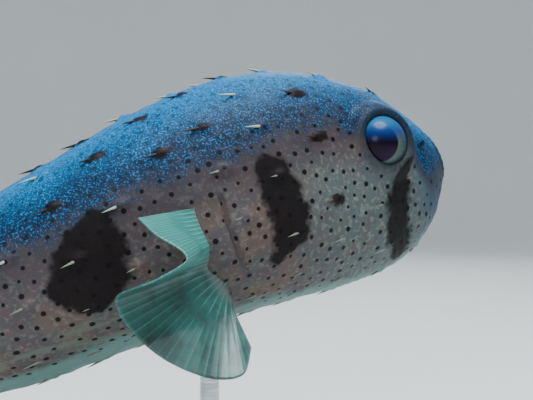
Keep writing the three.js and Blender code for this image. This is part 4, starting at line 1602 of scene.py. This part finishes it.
@dataclass
class MedianFin:
    """A fin in the middle plane: rays fan out from a root line on the back or belly, to a rounded edge."""

    place: Placement
    form: BodyForm
    node: str
    key: str
    root: tuple[float, float]
    lean: float
    length: float
    wave: float
    spread: float = 44.0
    rays: int = 12
    DORSAL_START = 0.735

    def build(self, material: bpy.types.Material) -> bpy.types.Object:
        """Makes the fin, its rays bending back a little and the sheet waving sideways towards the edge.

        Args:
            material: The fins' finish.

        Returns:
            The fin's object.
        """
        share = np.linspace(0, 1, self.rays * 10 + 1)[:, None]
        out = np.linspace(-0.08, 1.0, 40)[None]
        ray = ray_ridges(share, self.rays, out)
        at = self.root[0] + (self.root[1] - self.root[0]) * share
        tilt = np.radians(self.lean + self.spread * (share - 0.5))
        reach = FIN_REACH * self.length * (0.5 + 0.5 * np.sin(math.pi * (0.06 + 0.84 * share)) ** 0.7)
        bent = tilt + 0.12 * out * np.sign(np.cos(tilt))
        x = -at * STANDARD_LENGTH - np.sin(bent) * reach * out
        z = self.form.line(self.key, at) * STANDARD_LENGTH + np.cos(bent) * reach * out
        y = self.wave * np.sin(math.pi * (1.3 * share + 0.5 * out)) * out
        surface = self.place.placed(fin_plate(np.stack([x, y, z], -1), ray, np.clip(out, 0, 1)))
        return fitted(surface, self.node.replace("_fin", ""), material, "fin", self.node)


@dataclass
class TailFin:
    """The rounded tail fin behind the stalk, with branching rays."""

    place: Placement
    form: BodyForm
    rays: int = 9

    def build(self, material: bpy.types.Material) -> bpy.types.Object:
        """Makes the fin: rays fan out by 17 degrees each way, and the sheet waves towards the edge.

        Args:
            material: The fins' finish.

        Returns:
            The fin's object.
        """
        share = np.linspace(0, 1, self.rays * 14 + 1)[:, None]
        out = np.linspace(0, 1, 46)[None]
        across = 2 * share - 1
        ray = ray_ridges(share, self.rays, out)
        one = np.float64(1.0)
        high, low = (self.form.line(key, one) * STANDARD_LENGTH for key in ("back", "belly"))
        start = low + 1.5 + (high - low - 3.0) * share
        tilt = np.radians(17 * across)
        reach = (60 - 9 * across**2 - 3 * across**6) * FIN_REACH
        x = -STANDARD_LENGTH + 2 - np.cos(tilt) * reach * out
        z = start + np.sin(tilt) * reach * out
        y = 5 * out * out * np.sin(2.1 * across + 0.5)
        surface = self.place.placed(fin_plate(np.stack([x, y, z], -1), ray, out))
        return fitted(surface, "caudal", material, "fin", "caudal_fin")


# ------------------------------------------------------------------ the stand and the studio


def turned_piece(profile: np.ndarray, centre: tuple[float, float], squash: float, around: int) -> Surface:
    """A turned solid: each (radius, height) of the profile becomes an oval ring, its y squashed."""
    turn = circle(around)
    x = centre[0] + profile[:, :1] * np.cos(turn)
    y = centre[1] + profile[:, :1] * np.sin(turn) * squash
    z = np.broadcast_to(profile[:, 1:], x.shape)
    surface = closed_tube(np.stack([x, y, z], -1))
    surface.points[-2] = (centre[0], centre[1], profile[0, 1])
    surface.points[-1] = (centre[0], centre[1], profile[-1, 1])
    return surface


def rounded(corners: list[Triple], steps: int = 7) -> np.ndarray:
    """A profile whose corners are rounded.

    Args:
        corners: (radius from the axis, height, rounding) of each corner, in metres.
        steps: Points on each rounding.

    Returns:
        The profile. A rounding is the quadratic curve from one leg to the other that the corner pulls on.
    """
    points = []
    for k, (r, z, bend) in enumerate(corners):
        here = np.array([r, z])
        if bend == 0 or k in (0, len(corners) - 1):
            points.append(here[None])
            continue
        before, after = (np.array(corners[j][:2]) - here for j in (k - 1, k + 1))
        start, end = here + unit(before) * bend, here + unit(after) * bend
        t = np.linspace(0, 1, steps)[:, None]
        points.append(start * (1 - t) ** 2 + here * 2 * t * (1 - t) + end * t**2)
    return np.concatenate(points)


@dataclass
class DisplayStand:
    """An oval wooden base, a steel rod up to the belly and the collar that holds the rod; sizes in metres."""

    bevel: float = 0.0025
    bore: float = 0.0041
    flange: float = 0.002
    neck: float = 0.0022

    def build(self) -> list[bpy.types.Object]:
        """Makes the stand's three pieces from the boxes of their solids.

        Returns:
            The pieces.
        """
        steel, wood = SteelFinish().material(), WoodFinish().material()
        (x0, y0, z0), (x1, y1, z1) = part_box("stand_base")
        a, b = (x1 - x0) / 2, (y1 - y0) / 2
        middle = ((x0 + x1) / 2, (y0 + y1) / 2)
        outline = rounded(
            [
                (a * 0.02, z0, 0),
                (a, z0, 0.0012),
                (a, z1 - self.bevel, 0.0016),
                (a - self.bevel, z1, 0.002),
                (a * 0.02, z1, 0),
            ]
        )
        oval = turned_piece(outline, middle, b / a, 160)
        base = fitted(oval, "base_oval", wood, "wood", "stand_base")

        (x0, y0, z0), (x1, y1, z1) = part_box("stand_collar")
        centre, r = ((x0 + x1) / 2, (y0 + y1) / 2), (x1 - x0) / 2
        outline = rounded(
            [
                (self.bore, z0, 0),
                (r, z0, 0.0004),
                (r, z0 + self.flange, 0.0008),
                (self.bore + self.neck, z1, 0.0008),
                (self.bore, z1, 0),
            ]
        )
        ring = turned_piece(outline, centre, 1.0, 72)
        collar = fitted(ring, "rod_collar", steel, "steel", "stand_collar")

        (x0, y0, z0), (x1, y1, z1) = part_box("stand_rod")
        r = (x1 - x0) / 2
        outline = rounded([(r * 0.1, z0, 0), (r, z0, 0.0003), (r, z1, 0.0003), (r * 0.1, z1, 0)])
        heights = np.linspace(z0 + 0.001, z1 - 0.001, 12)
        shaft = np.stack([np.full_like(heights, r), heights], -1)
        half = len(outline) // 2
        bar = turned_piece(np.concatenate([outline[:half], shaft, outline[half:]]), centre, 1.0, 48)
        rod = fitted(bar, "rod", steel, "steel", "stand_rod")
        return [base, collar, rod]


@dataclass
class Studio:
    """A pale sweep, soft lights and the camera.

    Attributes:
        view_width: The camera's angle of view, in degrees.
        camera_from_lips: Where the camera stands, in millimetres of the part's frame.
        heading: Which way it looks, in degrees.
        floor_radius: The flat floor's radius; this and the next two are in metres.
        bend_radius: The radius of the bend up from it.
        wall_height: How high the wall goes.
        around: The sweep's columns.
        aim: The place that the soft lights face.
        lamps: Each soft light's name, place and width in metres, power in watts and tint.
    """

    place: Placement
    view_width: float = 40.0
    camera_from_lips: Triple = (-184.4, -299.0, -19.5)
    heading: float = 19.47
    floor_radius: float = 1.9
    bend_radius: float = 0.9
    wall_height: float = 2.6
    around: int = 128
    aim: Triple = (0.0, 0.0, 0.13)
    lamps: tuple[tuple[str, Triple, float, float, Colour], ...] = (
        ("softbox_above", (0.1, -0.3, 1.5), 0.9, 41.0, (0.93, 0.98, 1.0)),
        ("softbox_front", (-1.0, -1.2, 0.7), 0.7, 10.0, (1.0, 0.98, 0.95)),
        ("softbox_behind", (0.7, 1.2, 1.1), 0.8, 7.0, (1.0, 1.0, 1.0)),
    )

    def sweep(self) -> bpy.types.Object:
        """Makes the sweep: a flat round floor that bends up into a wall all the way round."""
        steps = 24
        bend = np.linspace(0, math.pi / 2, steps)
        radii = np.concatenate(
            [
                np.linspace(0.02, self.floor_radius, steps),
                self.floor_radius + self.bend_radius * np.sin(bend[1:]),
                [self.floor_radius + self.bend_radius],
            ]
        )
        rise = self.bend_radius * (1 - np.cos(bend[1:]))
        heights = np.concatenate([np.zeros(steps), rise, [self.wall_height]])
        turn = circle(self.around)
        x, y = radii[:, None] * np.cos(turn), radii[:, None] * np.sin(turn)
        z = np.broadcast_to(heights[:, None], x.shape)
        rings = np.stack([x, y, z], -1)
        points = np.concatenate([rings.reshape(-1, 3), [[0.0, 0.0, 0.0]]])
        count = len(radii)
        fan = fan_faces(count * self.around, 0, self.around, False)
        surface = Surface(points, [tube_faces(count, self.around)[:, ::-1], fan[:, ::-1]])
        mesh = bpy.data.meshes.new("studio_sweep")
        mesh.from_pydata(surface.points.tolist(), [], [f.tolist() for part in surface.faces for f in part])
        mesh.polygons.foreach_set("use_smooth", np.full(len(mesh.polygons), True))
        sweep = bpy.data.objects.new("studio_sweep", mesh)
        bpy.context.scene.collection.objects.link(sweep)
        mesh.materials.append(BackdropFinish().material())
        return sweep

    def light(self, name: str, where: Triple, size: float, power: float, tint: Colour) -> None:
        """Adds a soft round light that faces the fish.

        Args:
            name: Its name.
            where: Its place in metres.
            size: How wide it is.
            power: Its power in watts.
            tint: Its colour.
        """
        lamp = bpy.data.lights.new(name, "AREA")
        lamp.shape = "DISK"
        lamp.size = size
        lamp.energy = power
        lamp.color = tint
        made = bpy.data.objects.new(name, lamp)
        away = unit(np.array(where) - np.array(self.aim))
        made.location = where
        made.rotation_euler = (math.acos(away[2]), 0.0, math.atan2(away[1], away[0]) + math.pi / 2)
        bpy.context.scene.collection.objects.link(made)

    def build(self) -> None:
        """Makes the sweep, the lights, the sky and the camera."""
        self.sweep()
        for lamp in self.lamps:
            self.light(*lamp)
        world = bpy.data.worlds.new("studio_air")
        world.use_nodes = True
        sky = world.node_tree.nodes["Background"]
        sky.inputs["Color"].default_value = (0.9, 0.95, 1.0, 1.0)
        sky.inputs["Strength"].default_value = 0.25
        bpy.context.scene.world = world
        camera = bpy.data.cameras.new("camera")
        camera.sensor_fit = "HORIZONTAL"
        camera.angle = math.radians(self.view_width)
        camera.clip_start = 0.01
        camera.clip_end = 20.0
        made = bpy.data.objects.new("camera", camera)
        made.location = (self.place.snout + np.array(self.camera_from_lips)) * MM
        made.rotation_euler = (math.pi / 2, 0.0, -math.radians(self.heading))
        bpy.context.scene.collection.objects.link(made)
        bpy.context.scene.camera = made


# ------------------------------------------------------------------ assembly


def main() -> None:
    """Builds the fish, its stand and the studio, and logs each piece."""
    logging.basicConfig(level=logging.INFO, format="%(name)s: %(message)s")
    place, form, grid = Placement(), BodyForm(), SkinMap()
    spines = SpineField(form)
    skin = Skin(form, place, spines, grid)
    skin_object = skin.build()
    coat = fitted(spines.surface(place, grid), "spines", SpineFinish().material(), "skin")
    LOG.info("spines: %d of them, %d faces", len(spines.root), len(coat.data.polygons))

    skin_material = skin_object.data.materials[0]
    eye_material, beak_material, fin_material = (
        EyeFinish().material(),
        BeakFinish().material(),
        FinFinish().material(),
    )
    for side in Side:
        Eye(place, side).build(eye_material)
        Nostril(place, form, side).build(skin_material)
        PectoralFin(place, side).build(fin_material)
        LOG.info("%s eye, nostril and pectoral fin", side.word)
    for jaw in (1, -1):
        BeakPlate(place, jaw).build(beak_material)
    dorsal = MedianFin(place, form, "dorsal_fin", "back", (MedianFin.DORSAL_START, 0.825), 38, 44, 3)
    anal = MedianFin(place, form, "anal_fin", "belly", (0.845, 0.765), 140, 38, -3)
    for fin in (dorsal, anal, TailFin(place, form)):
        fin.build(fin_material)
    DisplayStand().build()
    LOG.info("beak plates, middle fins and stand")
    Studio(place).build()


if __name__ == "__main__":
    main()
